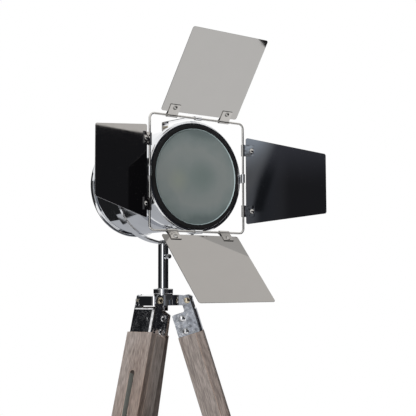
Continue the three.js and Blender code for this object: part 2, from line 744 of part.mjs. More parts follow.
function makeHolder() {
  const bottom = HOLDER_FRONT + HOLDER_BORE;
  const socket = turned(
    [
      [0, bottom],
      [BULB_NECK + 1.5, bottom],
      [BULB_NECK + 1.5, HOLDER_FRONT],
      [HOLDER_RADIUS - 2, HOLDER_FRONT],
      [HOLDER_RADIUS, HOLDER_FRONT + 3],
      [HOLDER_RADIUS, HOLDER_BACK - 6],
      [HOLDER_RADIUS - 6, HOLDER_BACK],
      [0, HOLDER_BACK],
    ],
    HEAD_SIDES / 2,
  );
  add(head, "lamp_holder", socket, blackPlastic);
}

// A strap across the drum's end that carries the lamp holder, its ends bent forwards along the drum's wall.
function makeHolderBracket() {
  const reach = DRUM_RADIUS - DRUM_WALL - 2;
  const half = 11;
  const thickness = 2;
  const front = HOLDER_BACK + GAP;
  const bar = block([-reach, front, -half], [reach, front + thickness, half]);
  const feet = [-reach, reach - thickness].map((low) =>
    block([low, HOLDER_BACK - 10, -half], [low + thickness, front + 1, half]),
  );
  add(head, "holder_bracket", join(bar, ...feet), chrome);
}

function makeBulb() {
  const profile = [[0, BULB_MIDDLE - BULB_RADIUS]];
  for (let degrees = -75; degrees <= 45; degrees += 15) {
    const angle = radians(degrees);
    profile.push([BULB_RADIUS * Math.cos(angle), BULB_MIDDLE + BULB_RADIUS * Math.sin(angle)]);
  }
  const end = HOLDER_FRONT + HOLDER_BORE - 2;
  profile.push([BULB_NECK + 2.5, HOLDER_FRONT - BULB_NECK], [BULB_NECK, HOLDER_FRONT], [BULB_NECK, end]);
  profile.push([0, end]);
  add(head, "bulb", turned(profile, HEAD_SIDES / 2), opal);
}

// The ring that the cord leaves the rear cover by.
function makeGland() {
  const inside = DRUM_BACK + GAP + BACK_DOME;
  const seat = inside + BACK_WALL + GAP + 0.6;
  const bore = 3.4;
  const flange = GLAND_NECK + 3;
  const end = seat + GLAND_LENGTH;
  const gland = turned(
    [
      [bore, inside - GLAND_REACH],
      [GLAND_NECK, inside - GLAND_REACH],
      [GLAND_NECK, seat],
      [flange, seat],
      [flange, seat + GLAND_LENGTH / 2],
      [GLAND_NECK + 0.5, end],
      [bore, end],
    ],
    ROD_SIDES,
  );
  add(head, "cord_gland", gland.translate(0, 0, -GLAND_BELOW), blackPlastic);
}

// ---------------------------------------------------------------- barn doors

// The wire square: one rod bent round four corners, its ends meeting inside the bottom strap.
function makeWireFrame() {
  const half = FRAME_SIDE / 2;
  const straight = half - FRAME_CORNER;
  const stations = [new THREE.Vector3(-GAP / 2, 0, -half)];
  const centres = [
    [-straight, -straight, 270],
    [-straight, straight, 180],
    [straight, straight, 90],
    [straight, -straight, 0],
  ];
  for (const [x, z, startAngle] of centres) {
    for (let turn = 0; turn <= 90; turn += 22.5) {
      const angle = radians(startAngle - turn);
      const px = x + FRAME_CORNER * Math.cos(angle);
      const pz = z + FRAME_CORNER * Math.sin(angle);
      stations.push(new THREE.Vector3(px, 0, pz));
    }
  }
  stations.push(new THREE.Vector3(GAP / 2, 0, -half));
  const section = new THREE.Shape().absarc(0, 0, WIRE_RADIUS, 0, 2 * Math.PI, false);
  const options = {
    steps: stations.length - 1,
    extrudePath: new StationPath(stations),
    curveSegments: 5,
    bevelEnabled: false,
  };
  const wire = new THREE.ExtrudeGeometry(section, options);
  add(head, "barn_door_frame", wire.translate(0, FRAME_Y, FRAME_RISE), chrome);
}

// A bent strip is drawn with x forwards (-Y) and y outwards (+Z) from the wire's centre.
function bentStrip(outline, width) {
  return facing(plate(outline, width, 10), [0, -1, 0], [0, 0, 1], [-1, 0, 0]);
}

// A hinge clip: a strip folded round the wire, a leaf on each face of the door, and a rivet through all.
function clipGeometry() {
  const leafBack = DOOR_THICKNESS / 2 + GAP;
  const leafFront = leafBack + STRAP_THICKNESS;
  const outerTurn = Math.acos(leafFront / LOOP_OUTER);
  const innerTurn = Math.acos(leafBack / LOOP_INNER);
  const outline = new THREE.Shape();
  outline.moveTo(leafFront, CLIP_LEAF);
  outline.absarc(0, 0, LOOP_OUTER, outerTurn, -Math.PI - outerTurn, true);
  outline.lineTo(-leafFront, CLIP_LEAF);
  outline.lineTo(-leafBack, CLIP_LEAF);
  outline.absarc(0, 0, LOOP_INNER, -Math.PI - innerTurn, innerTurn, false);
  outline.lineTo(leafBack, CLIP_LEAF);
  outline.closePath();
  const headSide = [
    [RIVET_HEAD, 0.1 - leafFront],
    [RIVET_HEAD - 1.4, -leafFront - RIVET_DOME + 0.4],
    [0, -leafFront - RIVET_DOME],
  ];
  const otherSide = headSide.map(([radius, y]) => [radius, -y]).reverse();
  const shank = [
    [RIVET_RADIUS, leafFront - 0.1],
    [RIVET_RADIUS, 0.1 - leafFront],
  ];
  const rivet = turned([...otherSide, ...shank, ...headSide], RIVET_SIDES);
  rivet.translate(0, 0, CLIP_RIVET_AT);
  return join(bentStrip(outline, CLIP_LENGTH), rivet);
}

function doorGeometry({ inner, outer, length, start, slid }) {
  const far = start + length;
  const outline = rounded([
    [slid - inner / 2, start, DOOR_CORNER],
    [slid + inner / 2, start, DOOR_CORNER],
    [slid + outer / 2, far, DOOR_CORNER],
    [slid - outer / 2, far, DOOR_CORNER],
  ]);
  const sheet = facing(plate(outline, DOOR_THICKNESS, 3), [1, 0, 0], [0, 0, 1], [0, -1, 0]);
  const holes = [-1, 1].map((side) => {
    const hole = rod("y", RIVET_RADIUS + FIT, -DOOR_THICKNESS, DOOR_THICKNESS, SMALL_SIDES);
    return hole.translate(slid + (side * CLIP_SPACING) / 2, 0, CLIP_RIVET_AT);
  });
  return cut(sheet, ...holes);
}

// The end of a strap: a loop round the wire, which the outline enters and leaves along its outer side.
function strapLoop(outline) {
  const loopEnd = radians(-160);
  outline.lineTo(0, LOOP_OUTER);
  outline.absarc(0, 0, LOOP_OUTER, Math.PI / 2, loopEnd, true);
  outline.absarc(0, 0, LOOP_INNER, loopEnd, Math.PI / 2, false);
}

const SHORT_STRAP_BEND = -8.3; // where the foot starts to rise to the wire
const SHORT_STRAP_STEP = 3.6; // length of that rise
const SHORT_STRAP_MITRE = 0.3; // keeps the sloping part as thick as the rest

// A short strap from the bezel's skirt to the wire, which lies wireRadius from the head's axis.
function shortStrapGeometry(wireRadius) {
  const foot = BEZEL_RADIUS + FIT - wireRadius;
  const back = FRAME_Y - BEZEL_BACK;
  const outerBend = SHORT_STRAP_BEND - SHORT_STRAP_MITRE;
  const innerBend = SHORT_STRAP_BEND + SHORT_STRAP_MITRE;
  const outline = new THREE.Shape();
  outline.moveTo(back, foot + STRAP_THICKNESS);
  outline.lineTo(outerBend, foot + STRAP_THICKNESS);
  outline.lineTo(outerBend + SHORT_STRAP_STEP, LOOP_OUTER);
  strapLoop(outline);
  outline.lineTo(innerBend + SHORT_STRAP_STEP, LOOP_INNER);
  outline.lineTo(innerBend, foot);
  outline.lineTo(back, foot);
  outline.closePath();
  return bentStrip(outline, STRAP_WIDTH);
}

const TOP_STRAP_BACK = -107; // the long strap's far end, behind the wire
const TOP_STRAP_RISE = 9;
const TOP_STRAP_BEND = -20; // where the strap starts to rise behind the wire
const TOP_STRAP_FOOT = 12; // length of the foot that lies on the drum
const TOP_STRAP_WIDTH = 14;
const TOP_STRAP_LIFT = 2; // how far the strap stands off the wire where it starts to rise
const STRAP_SCREW_RADIUS = 2;
const STRAP_SCREW_REACH = 8;
const STRAP_SCREW_HEAD = 4.5; // radius
const STRAP_SCREW_HEIGHT = 4;

// The top strap reaches back over the bezel and steps down to the drum, where a screw holds it.
function topStrapGeometry(wireRadius) {
  const drumTop = DRUM_RADIUS + FIT - wireRadius;
  const back = TOP_STRAP_BACK;
  const footEnd = back + TOP_STRAP_FOOT;
  const outline = new THREE.Shape();
  outline.moveTo(back, drumTop);
  outline.lineTo(back, TOP_STRAP_RISE);
  outline.lineTo(TOP_STRAP_BEND, LOOP_OUTER + TOP_STRAP_LIFT);
  strapLoop(outline);
  outline.lineTo(TOP_STRAP_BEND, LOOP_INNER + TOP_STRAP_LIFT);
  outline.lineTo(back + STRAP_THICKNESS, TOP_STRAP_RISE - STRAP_THICKNESS);
  outline.lineTo(back + STRAP_THICKNESS, drumTop + STRAP_THICKNESS);
  outline.lineTo(footEnd, drumTop + STRAP_THICKNESS);
  outline.lineTo(footEnd, drumTop);
  outline.closePath();
  const strip = bentStrip(outline, TOP_STRAP_WIDTH);
  const screwHole = rod("y", STRAP_SCREW_RADIUS + FIT, -back - 4, 6 - back, SMALL_SIDES);
  return cut(strip, screwHole);
}

function topStrapScrewGeometry() {
  const face = GAP - TOP_STRAP_BACK;
  const shank = rod("y", STRAP_SCREW_RADIUS, face - STRAP_SCREW_REACH, face + 1, SMALL_SIDES);
  const screwHead = rod("y", STRAP_SCREW_HEAD, face, face + STRAP_SCREW_HEIGHT, SMALL_SIDES);
  return join(shank, screwHead);
}

function makeDoors() {
  const centre = new THREE.Group();
  centre.position.set(0, FRAME_Y, FRAME_RISE);
  head.add(centre);
  DOORS.forEach((door, quarter) => {
    const side = new THREE.Group();
    side.rotation.y = (quarter * Math.PI) / 2;
    centre.add(side);
    const wire = new THREE.Group();
    wire.position.z = FRAME_SIDE / 2;
    side.add(wire);
    const hinge = new THREE.Group();
    hinge.rotation.x = radians(door.opening);
    wire.add(hinge);
    add(hinge, `barn_door_${door.name}`, doorGeometry(door), chrome);
    for (const [end, place] of [["1", -1], ["2", 1]]) {
      const clip = clipGeometry().translate(door.slid + (place * CLIP_SPACING) / 2, 0, 0);
      add(hinge, `hinge_clip_${door.name}_${end}`, clip, chrome);
    }
    const wireRadius = FRAME_SIDE / 2 + FRAME_RISE * Math.cos((quarter * Math.PI) / 2);
    const isTop = door.name === "top";
    const strap = isTop ? topStrapGeometry(wireRadius) : shortStrapGeometry(wireRadius);
    add(wire, `frame_strap_${door.name}`, strap, chrome);
    if (isTop) add(wire, "top_strap_screw", topStrapScrewGeometry(), chrome);
  });
}

// ---------------------------------------------------------------- assembly

makeHub();
makeCollar();
makeStem();
makeCentreBolt();
makePanScrew();
for (const [letter, azimuth] of Object.entries(LEG_AZIMUTHS)) makeLeg(letter, azimuth);
makeYoke();
makeSpigot();
add(head, "tilt_knob_left", tiltKnobGeometry(-1), blackPlastic);
add(head, "tilt_knob_right", tiltKnobGeometry(1), blackPlastic);
makeDrum();
makeRearCover();
makeBezel();
makeGasket();
makeLens();
makeHolder();
makeHolderBracket();
makeBulb();
makeGland();
makeWireFrame();
makeDoors();

export default lamp;
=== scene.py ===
"""The looks of the tripod floor lamp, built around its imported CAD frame.

Every piece is made here finely, in the place of its plain CAD node, and rides on the same body. Lengths
are in millimetres. Each sub-part has a local frame, taken from the frame record's joints, and its pieces
are drawn in that frame and placed by its matrix:
  stand   z up from the height of the leg pivots, on the stem's axis
  head    the tilt axis along x, the lens towards -y
  leg     x along the leg's pivot, -y outwards, -z down the leg
  wire    one side of the square wire frame: x along the wire, z away from the lens, -y to the front
  door    the same, turned about the wire with the door
"""

import json
import math

import bmesh
import bpy
from mathutils import Matrix, Vector


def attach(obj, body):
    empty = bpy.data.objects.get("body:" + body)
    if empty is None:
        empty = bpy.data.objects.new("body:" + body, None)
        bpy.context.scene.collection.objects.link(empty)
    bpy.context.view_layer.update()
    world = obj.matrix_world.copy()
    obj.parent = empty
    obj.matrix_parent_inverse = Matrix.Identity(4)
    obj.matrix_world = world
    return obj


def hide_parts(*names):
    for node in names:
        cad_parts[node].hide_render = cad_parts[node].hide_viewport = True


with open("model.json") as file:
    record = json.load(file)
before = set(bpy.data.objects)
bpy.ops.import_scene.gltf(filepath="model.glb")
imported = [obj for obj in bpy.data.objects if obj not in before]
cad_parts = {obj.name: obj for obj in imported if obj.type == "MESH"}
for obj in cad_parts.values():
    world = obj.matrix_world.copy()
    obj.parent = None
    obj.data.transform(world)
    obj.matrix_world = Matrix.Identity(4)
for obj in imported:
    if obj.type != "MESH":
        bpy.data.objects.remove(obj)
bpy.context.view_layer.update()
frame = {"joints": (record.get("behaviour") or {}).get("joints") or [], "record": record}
JOINTS = {joint["name"]: joint for joint in frame["joints"]}
BODIES = frame["record"]["behaviour"]["bodies"]
BODY_OF = {node: body for body, nodes in BODIES.items() for node in nodes}

MM = 0.001  # a millimetre in metres, the unit of the frame
GAP = 0.3  # clearance between touching pieces, as in the CAD
FIT = 0.4  # clearance of a pin in its hole, as in the CAD
scene = bpy.context.scene


# ---------------- frames

def joint_point(name):
    return Vector(JOINTS[name]["pos_m"])


def joint_axis(name):
    return Vector(JOINTS[name]["axis"])


def basis(x, y, z, origin):
    place = Matrix((x, y, z)).transposed().to_4x4()
    place.translation = origin
    return place


HEAD = Matrix.Translation(joint_point("head_tilt"))
STEM_AXIS = joint_point("head_pan")
PIVOT_HEIGHT = joint_point("leg_fold_a").z
STAND = Matrix.Translation((STEM_AXIS.x, STEM_AXIS.y, PIVOT_HEIGHT))


def leg_frame(letter):
    across = joint_axis(f"leg_fold_{letter}")
    up = -joint_axis(f"leg_extend_{letter}")
    return basis(across, up.cross(across), up, joint_point(f"leg_fold_{letter}"))


def wire_frame_side(side):
    along = joint_axis(f"door_{side}_swing")
    back = Vector((0, 1, 0))
    return basis(along, back, along.cross(back), joint_point(f"door_{side}_swing"))


FULLY_CLOSED = 90  # a door's turn from lying in the frame's plane to pointing straight ahead


def door_frame(side):
    opening = FULLY_CLOSED - JOINTS[f"door_{side}_swing"]["range_deg"][1]
    return wire_frame_side(side) @ Matrix.Rotation(math.radians(opening), 4, "X")


# ---------------- shapes

def axis_vector(name):
    """A unit vector along x, y or z, or against it when the name starts with a minus."""
    sign = -1 if name[0] == "-" else 1
    return Vector([sign if name[-1] == letter else 0 for letter in "xyz"])


def arc(centre, radius, start, end, step=6):
    """Points along an arc, both ends included, with angles in degrees."""
    count = max(2, math.ceil(abs(end - start) / step))
    angles = [math.radians(start + (end - start) * i / count) for i in range(count + 1)]
    return [(centre[0] + radius * math.cos(a), centre[1] + radius * math.sin(a)) for a in angles]


def rounded(corners, step=10):
    """An outline through corners, each (x, y) or (x, y, radius). The first of an open line has no radius."""
    outline = []
    for i, corner in enumerate(corners):
        here = Vector(corner[:2])
        radius = corner[2] if len(corner) > 2 else 0
        if radius == 0:
            outline.append(tuple(here))
            continue
        back = (Vector(corners[i - 1][:2]) - here).normalized()
        ahead = (Vector(corners[(i + 1) % len(corners)][:2]) - here).normalized()
        half = back.angle(ahead) / 2
        centre = here + (back + ahead).normalized() * (radius / math.sin(half))
        from_centre = here + back * (radius / math.tan(half)) - centre
        start = math.degrees(math.atan2(from_centre.y, from_centre.x))
        turn = 180 - math.degrees(2 * half)
        if back.x * ahead.y - back.y * ahead.x > 0:
            turn = -turn
        outline += arc(centre, radius, start, start + turn, step)
    return outline


def rectangle(low_x, low_y, high_x, high_y, radius=0):
    corners = [(low_x, low_y), (high_x, low_y), (high_x, high_y), (low_x, high_y)]
    return rounded([(*corner, radius) for corner in corners])


def half_rounded(half_width, square, round_end, radius, step=10):
    """A rectangle about the y axis with square corners at one end and rounded ones at the other."""
    return rounded([(-half_width, square), (-half_width, round_end, radius),
                    (half_width, round_end, radius), (half_width, square)], step)


def skin(rings, closed):
    """A solid through rings of as many points, or of one point. It closes on itself or has two flat ends."""
    size = max(len(ring) for ring in rings)
    bm = bmesh.new()
    made = [[bm.verts.new(point) for point in ring] * (size // len(ring)) for ring in rings]
    for i in range(0 if closed else 1, len(made)):
        before, ring = made[i - 1], made[i]
        for k in range(size):
            corners = list(dict.fromkeys((before[k - 1], before[k], ring[k], ring[k - 1])))
            if len(corners) > 2:
                bm.faces.new(corners)
    if not closed:
        bm.faces.new(made[0])
        bm.faces.new(made[-1])
    bmesh.ops.recalc_face_normals(bm, faces=bm.faces)
    return bm


def prism(outline, low, high, axes=("x", "y", "z")):
    """A flat outline with a thickness. The axes say where its two directions and its thickness point."""
    along, up, deep = (axis_vector(name) for name in axes)
    return skin([[along * u + up * v + deep * end for u, v in outline] for end in (low, high)], closed=False)


def lathe(profile, axis="y", segments=96):
    """A turned solid. Its profile, (radius, place along the axis) each, is closed or ends on the axis."""
    along = axis_vector(axis)
    side = axis_vector("z" if axis[-1] != "z" else "x")
    third = along.cross(side)
    turns = [2 * math.pi * k / segments for k in range(segments)]
    spokes = [side * math.cos(turn) + third * math.sin(turn) for turn in turns]
    rings = []
    for radius, place in profile:
        middle = along * place
        rings.append([middle + spoke * radius for spoke in spokes] if radius else [middle])
    return skin(rings, closed=True)


def sweep(path, section, axes, closed=False):
    """A section carried along a flat path. It is a list of (across the path, out of the path's plane)."""
    along, up, deep = (axis_vector(name) for name in axes)
    rings = []
    last = len(path) - 1
    for i, point in enumerate(path):
        before = path[i - 1] if closed or i > 0 else point
        after = path[(i + 1) % len(path)] if closed or i < last else point
        ahead = (Vector(after) - Vector(before)).normalized()
        across = along * -ahead.y + up * ahead.x
        middle = along * point[0] + up * point[1]
        rings.append([middle + across * a + deep * d for a, d in section])
    return skin(rings, closed)


def circle(radius, sides=24):
    return arc((0, 0), radius, 0, 360, 360 / sides)[:-1]


def rod(axis, radius, start, end, segments=48):
    return lathe([(0, start), (radius, start), (radius, end), (0, end)], axis, segments)


def bore(axis, pin_radius, start, end):
    """The tool that cuts a pin's hole."""
    return rod(axis, pin_radius + FIT, start, end, 32)


def pipe(axis, inside, outside, start, end, segments=96):
    return lathe([(inside, start), (outside, start), (outside, end), (inside, end)], axis, segments)


def dome(radius, height, base, axis, segments=32):
    """A round rivet head that stands on a surface and is sunk a little into it."""
    sunk = base - 0.4
    curve = [math.radians(15 * k) for k in range(6)]
    profile = [(radius * math.cos(angle), base + height * math.sin(angle)) for angle in curve]
    return lathe([(0, sunk), (radius, sunk), *profile, (0, base + height)], axis, segments)


def block(low, high):
    return prism(rectangle(low[0], low[1], high[0], high[1]), low[2], high[2])


def moved(bm, matrix):
    bm.transform(matrix)
    return bm


def shifted(bm, x=0, y=0, z=0):
    return moved(bm, Matrix.Translation((x, y, z)))


def new_object(name, bm, *materials):
    mesh = bpy.data.meshes.new(name)
    bm.to_mesh(mesh)
    bm.free()
    for material in materials:
        mesh.materials.append(material)
    made = bpy.data.objects.new(name, mesh)
    scene.collection.objects.link(made)
    return made


def combined(base, *tools, operation="UNION"):
    """Joins, cuts or intersects solids, one tool after another."""
    target = new_object("scratch", base)
    for tool_shape in tools:
        tool = new_object("scratch", tool_shape)
        boolean = target.modifiers.new("boolean", "BOOLEAN")
        boolean.operation = operation
        boolean.solver = "EXACT"
        boolean.object = tool
        seen = target.evaluated_get(bpy.context.evaluated_depsgraph_get())
        result = bpy.data.meshes.new_from_object(seen)
        target.modifiers.clear()
        target.data = result
        bpy.data.objects.remove(tool)
    bm = bmesh.new()
    bm.from_mesh(target.data)
    bpy.data.objects.remove(target)
    bmesh.ops.dissolve_degenerate(bm, dist=1e-4, edges=bm.edges)
    return bm


def cut(base, *tools):
    return combined(base, *tools, operation="DIFFERENCE")


def together(*shapes):
    """Separate closed solids in one mesh, such as a strip and its rivet."""
    whole = bmesh.new()
    for shape in shapes:
        mesh = bpy.data.meshes.new("scratch")
        shape.to_mesh(mesh)
        shape.free()
        whole.from_mesh(mesh)
        bpy.data.meshes.remove(mesh)
    return whole


def fluted(radius, start, end, axis, ridges=24, depth=0.5):
    """A round grip with ridges along it."""
    outline = []
    steps = ridges * 6
    for k in range(steps):
        turn = 2 * math.pi * k / steps
        reach = radius - depth * (0.5 - 0.5 * math.cos(turn * ridges)) ** 2
        outline.append((reach * math.cos(turn), reach * math.sin(turn)))
    others = {"x": ("y", "z"), "y": ("z", "x"), "z": ("x", "y")}[axis[-1]]
    return prism(outline, start, end, (*others, axis))


EDGE_ANGLE = 40  # degrees: sharper edges than this are rounded


def add_piece(node, shape, place, material, bevel=0.3, segments=2):
    """Puts a fine piece in the place of a CAD node, on the same body."""
    bmesh.ops.scale(shape, vec=(MM, MM, MM), verts=shape.verts)
    piece = new_object(f"{node}_fine", shape, material)
    piece.data.shade_smooth()
    piece.matrix_world = place
    if bevel:
        edge = piece.modifiers.new("edge", "BEVEL")
        edge.width = bevel * MM
        edge.segments = segments
        edge.limit_method = "ANGLE"
        edge.angle_limit = math.radians(EDGE_ANGLE)
        edge.use_clamp_overlap = True
    else:
        piece.data.set_sharp_from_angle(angle=math.radians(EDGE_ANGLE))
    normals = piece.modifiers.new("normals", "WEIGHTED_NORMAL")
    normals.keep_sharp = True
    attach(piece, BODY_OF[node])
    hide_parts(node)


# ---------------- shader nodes

def node(tree, kind, values=(), **settings):
    """A shader node with its settings. Values pair a socket with its value or the output that feeds it."""
    made = tree.nodes.new(f"ShaderNode{kind}")
    for name, value in settings.items():
        setattr(made, name, value)
    for name, value in values:
        socket = made.inputs[name]
        if isinstance(value, bpy.types.NodeSocket):
            tree.links.new(value, socket)
        else:
            socket.default_value = (*value, 1) if socket.type == "RGBA" else value
    return made


def own_place(tree):
    """A point's place in the piece's own frame."""
    return node(tree, "TexCoord").outputs["Object"]


def noise(tree, scale, detail=4, stretch=(1, 1, 1)):
    """Noise in the piece's own frame, with its features drawn out along the axes whose stretch is small."""
    mapped = node(tree, "Mapping", [("Vector", own_place(tree)), ("Scale", stretch)]).outputs[0]
    return node(tree, "TexNoise", [("Vector", mapped), ("Scale", scale), ("Detail", detail)]).outputs["Fac"]


def spread(tree, value, low, high, start=0.3, end=0.7):
    """A number that goes from low to high as the value goes from start to end."""
    return node(tree, "MapRange", [(0, value), (1, start), (2, end), (3, low), (4, high)]).outputs[0]


def smooth_step(tree, value, start, end):
    """0 at the start and 1 at the end, with a soft way between."""
    return node(tree, "MapRange", [(0, value), (1, start), (2, end)],
                interpolation_type="SMOOTHSTEP").outputs[0]


def maths(tree, operation, *values):
    return node(tree, "Math", enumerate(values), operation=operation).outputs[0]


def within(tree, value, middle, reach):
    """1 where the value is no further than reach from the middle, and 0 elsewhere."""
    return maths(tree, "COMPARE", value, middle, reach)


def distance(tree, first, second=(0, 0, 0)):
    return node(tree, "VectorMath", [(0, first), (1, second)], operation="DISTANCE").outputs["Value"]


def stretched(tree, vector, factors):
    return node(tree, "VectorMath", [(0, vector), (1, factors)], operation="MULTIPLY").outputs[0]


def mixed(tree, factor, first, second, blend_type="MIX"):
    """The first colour where the factor is 0, and the second laid over it where the factor is 1."""
    return node(tree, "Mix", [("Factor", factor), ("A", first), ("B", second)],
                data_type="RGBA", blend_type=blend_type).outputs["Result"]


def shades(tree, value, stops):
    """A colour that goes through the stops, each (value, colour)."""
    ramp = node(tree, "ValToRGB", [(0, value)])
    elements = ramp.color_ramp.elements
    elements[0].position, elements[0].color = stops[0][0], (*stops[0][1], 1)
    elements[1].position, elements[1].color = stops[-1][0], (*stops[-1][1], 1)
    for position, color in stops[1:-1]:
        elements.new(position).color = (*color, 1)
    return ramp.outputs[0]


def tinted(color, factor):
    return tuple(channel * factor for channel in color)


def bump(tree, height, depth, below=None):
    """A bump of the given depth in millimetres, laid over another one where that is given."""
    under = [] if below is None else [("Normal", below)]
    values = [("Height", height), ("Distance", depth * MM), ("Strength", 1.0)]
    return node(tree, "Bump", values + under).outputs[0]


def worn_edges(tree, radius):
    """1 along the piece's edges and 0 on its faces: where a rounded normal leaves the real one."""
    real = node(tree, "NewGeometry").outputs["Normal"]
    soft = node(tree, "Bevel", [("Radius", radius * MM)], samples=4).outputs[0]
    same = node(tree, "VectorMath", [(0, real), (1, soft)], operation="DOT_PRODUCT").outputs["Value"]
    return spread(tree, same, 0.0, 1.0, 0.99, 0.85)


def new_material(name, metallic=0.0, specular=0.5, **inputs):
    """A material whose uniform values are set on the shader's sockets and whose others come from nodes."""
    material = bpy.data.materials.new(name)
    material.use_nodes = True
    tree = material.node_tree
    shader = tree.nodes["Principled BSDF"]
    shader.inputs["Metallic"].default_value = metallic
    shader.inputs["Specular IOR Level"].default_value = specular
    for socket, value in inputs.items():
        shader.inputs[socket.replace("_", " ").title()].default_value = value

    def feed(**outputs):
        for socket, output in outputs.items():
            tree.links.new(output, shader.inputs[socket.replace("_", " ").title()])

    return material, tree, feed


# ---------------- materials

LENS_EDGE = 89.5
LEG_WIDTH = 54.2
LEG_BACK = 35.6
SLOT_HALF_WIDTH = 5
SLOT_TOP = -128
SLOT_BOTTOM = -484.5


def polished(name, color, roughness, patina=0.06, patina_scale=28, waves=0.0, wave_scale=14):
    """Bright plated metal: faint patina, smudges, polishing lines, dulled edges and waves of the sheet."""
    material, tree, feed = new_material(name, metallic=1.0)
    cloudy = noise(tree, patina_scale, 6)
    plate = shades(tree, cloudy, [(0.3, tinted(color, 1 - patina)), (0.7, tinted(color, 1 + patina / 2))])
    dulled = mixed(tree, worn_edges(tree, 0.8), plate, tinted(color, 0.72))
    smudged = spread(tree, noise(tree, 60, 8), roughness, roughness * 2.2)
    relief = bump(tree, noise(tree, 900, 3, (1, 1, 0.04)), 0.0008)
    if waves:
        relief = bump(tree, noise(tree, wave_scale, 1), waves, relief)
    feed(base_color=dulled, roughness=smudged, normal=relief)
    return material


def stained_wood_and_painted_light(name, axis, start, tone, slot=None):
    """Oak under a grey-brown stain: broad soft bands, streaks and open pores, all drawn out along the leg.

    The faces that lie further out than start, in metres along the axis, are darker by the factor tone:
    painted shade on the sides and back of a leg. The walls of a slot, given by its half width, bottom and
    top in millimetres, are a pale grey-green, partly their own grey and partly painted light against the
    shade in the slot.
    """
    material, tree, feed = new_material(name, specular=0.15)
    bands = noise(tree, 60, 3, (1, 1, 0.1))
    streaks = noise(tree, 640, 5, (1, 1, 0.09))
    where = node(tree, "SeparateXYZ", [(0, own_place(tree))]).outputs
    lower = spread(tree, where["Z"], -0.055, 0.0, -0.3, -0.1)
    grain = maths(tree, "ADD", maths(tree, "MULTIPLY", bands, 0.35), maths(tree, "MULTIPLY", streaks, 0.65))
    grain = maths(tree, "ADD", grain, lower)
    brown = shades(tree, grain, [(0.36, (0.135, 0.104, 0.091)), (0.5, (0.25, 0.199, 0.173)),
                                 (0.64, (0.345, 0.28, 0.247))])
    gray = shades(tree, grain, [(0.36, (0.16, 0.138, 0.128)), (0.5, (0.285, 0.248, 0.228)),
                                (0.64, (0.385, 0.34, 0.317))])
    patches = spread(tree, noise(tree, 11, 3, (1, 1, 0.5)), 0.0, 1.0, 0.4, 0.6)
    color = mixed(tree, patches, brown, gray)
    pores = spread(tree, noise(tree, 1300, 2, (1, 1, 0.06)), 0.0, 0.45, 0.58, 0.70)
    color = mixed(tree, pores, color, (0.11, 0.08, 0.064))
    color = mixed(tree, maths(tree, "MULTIPLY", worn_edges(tree, 1.5), 0.8), color, (0.66, 0.50, 0.40))
    # Painted shade: the faces further out than start, a leg's sides and back, are darker.
    painted_shade_faces = spread(tree, maths(tree, "ABSOLUTE", where[axis]), 0.0, 1.0, start, start + 0.1 * MM)
    color = mixed(tree, painted_shade_faces, color, tinted((1, 0.96, 0.94), tone), "MULTIPLY")
    if slot:
        # The slot's walls: their own grey-green, made paler as painted light against the shade inside the
        # slot.
        half_width, bottom, top = (size * MM for size in slot)
        across = within(tree, where["X"], 0.0, half_width)
        down = within(tree, where["Z"], (bottom + top) / 2, (top - bottom) / 2)
        color = mixed(tree, maths(tree, "MULTIPLY", across, down), color, (0.43, 0.445, 0.415))
    relief = bump(tree, maths(tree, "MULTIPLY", pores, -1.0), 0.06, bump(tree, streaks, 0.05))
    feed(base_color=color, roughness=spread(tree, streaks, 0.6, 0.82), normal=relief)
    return material


def moulded(name, color, roughness, grain, depth, specular):
    """Plastic or rubber with a fine moulded grain, a dusty unevenness and paler rubbed edges."""
    material, tree, feed = new_material(name, specular=specular)
    dust = noise(tree, 45, 6)
    shade = shades(tree, dust, [(0.35, color), (0.65, tinted(color, 1.7))])
    rubbed = mixed(tree, worn_edges(tree, 0.6), shade, tinted(color, 2.2))
    feed(base_color=rubbed, roughness=spread(tree, dust, roughness, roughness + 0.2),
         normal=bump(tree, noise(tree, grain, 3), depth))
    return material


def etched_glass_and_painted_light(name):
    """The unlit lens: grey-green etched glass with painted light and shade in its colour: painted shade
    towards the rim and a darker middle, a dim warm patch before the bulb that is a painted glow, and a
    painted highlight in a thin ring near its edge.
    """
    material, tree, feed = new_material(name, coat_weight=0.12, coat_roughness=0.22)
    flat = stretched(tree, own_place(tree), (1, 0, 1))
    edge = LENS_EDGE * MM
    # Painted shade: the ramp darkens towards the rim, more at the top and bottom than at the sides.
    oval = maths(tree, "DIVIDE", distance(tree, stretched(tree, flat, (0.8, 0, 1.1))), edge)
    cloud = maths(tree, "MULTIPLY", maths(tree, "SUBTRACT", noise(tree, 20, 3), 0.5), 0.6)
    color = shades(tree, maths(tree, "ADD", oval, cloud), [
        (0.0, (0.185, 0.222, 0.214)), (0.4, (0.222, 0.250, 0.244)), (0.62, (0.232, 0.258, 0.252)),
        (0.82, (0.190, 0.224, 0.220)), (1.05, (0.125, 0.158, 0.157))])
    # Painted shade: the middle is darker, as if the dark inside of the lamp showed through the glass.
    deep = spread(tree, distance(tree, flat, (15 * MM, 0, 2 * MM)), 0.8, 0.0, 8 * MM, 34 * MM)
    color = mixed(tree, deep, color, (0.150, 0.190, 0.183))
    # Painted light: a dim warm glow of the unlit bulb, as if seen through the glass.
    painted_bulb_glow = spread(tree, distance(tree, flat, (-38 * MM, 0, -8 * MM)), 0.6, 0.0, 0.0, 26 * MM)
    color = mixed(tree, painted_bulb_glow, color, (0.27, 0.295, 0.235))
    # Painted highlight: a thin pale ring near the lens's edge.
    rim = spread(tree, distance(tree, flat), 0.0, 1.0, 0.936 * edge, 0.940 * edge)
    color = mixed(tree, rim, color, (0.40, 0.49, 0.50))
    feed(base_color=color, roughness=spread(tree, noise(tree, 120, 4), 0.42, 0.6),
         normal=bump(tree, noise(tree, 1500, 3), 0.02))
    return material


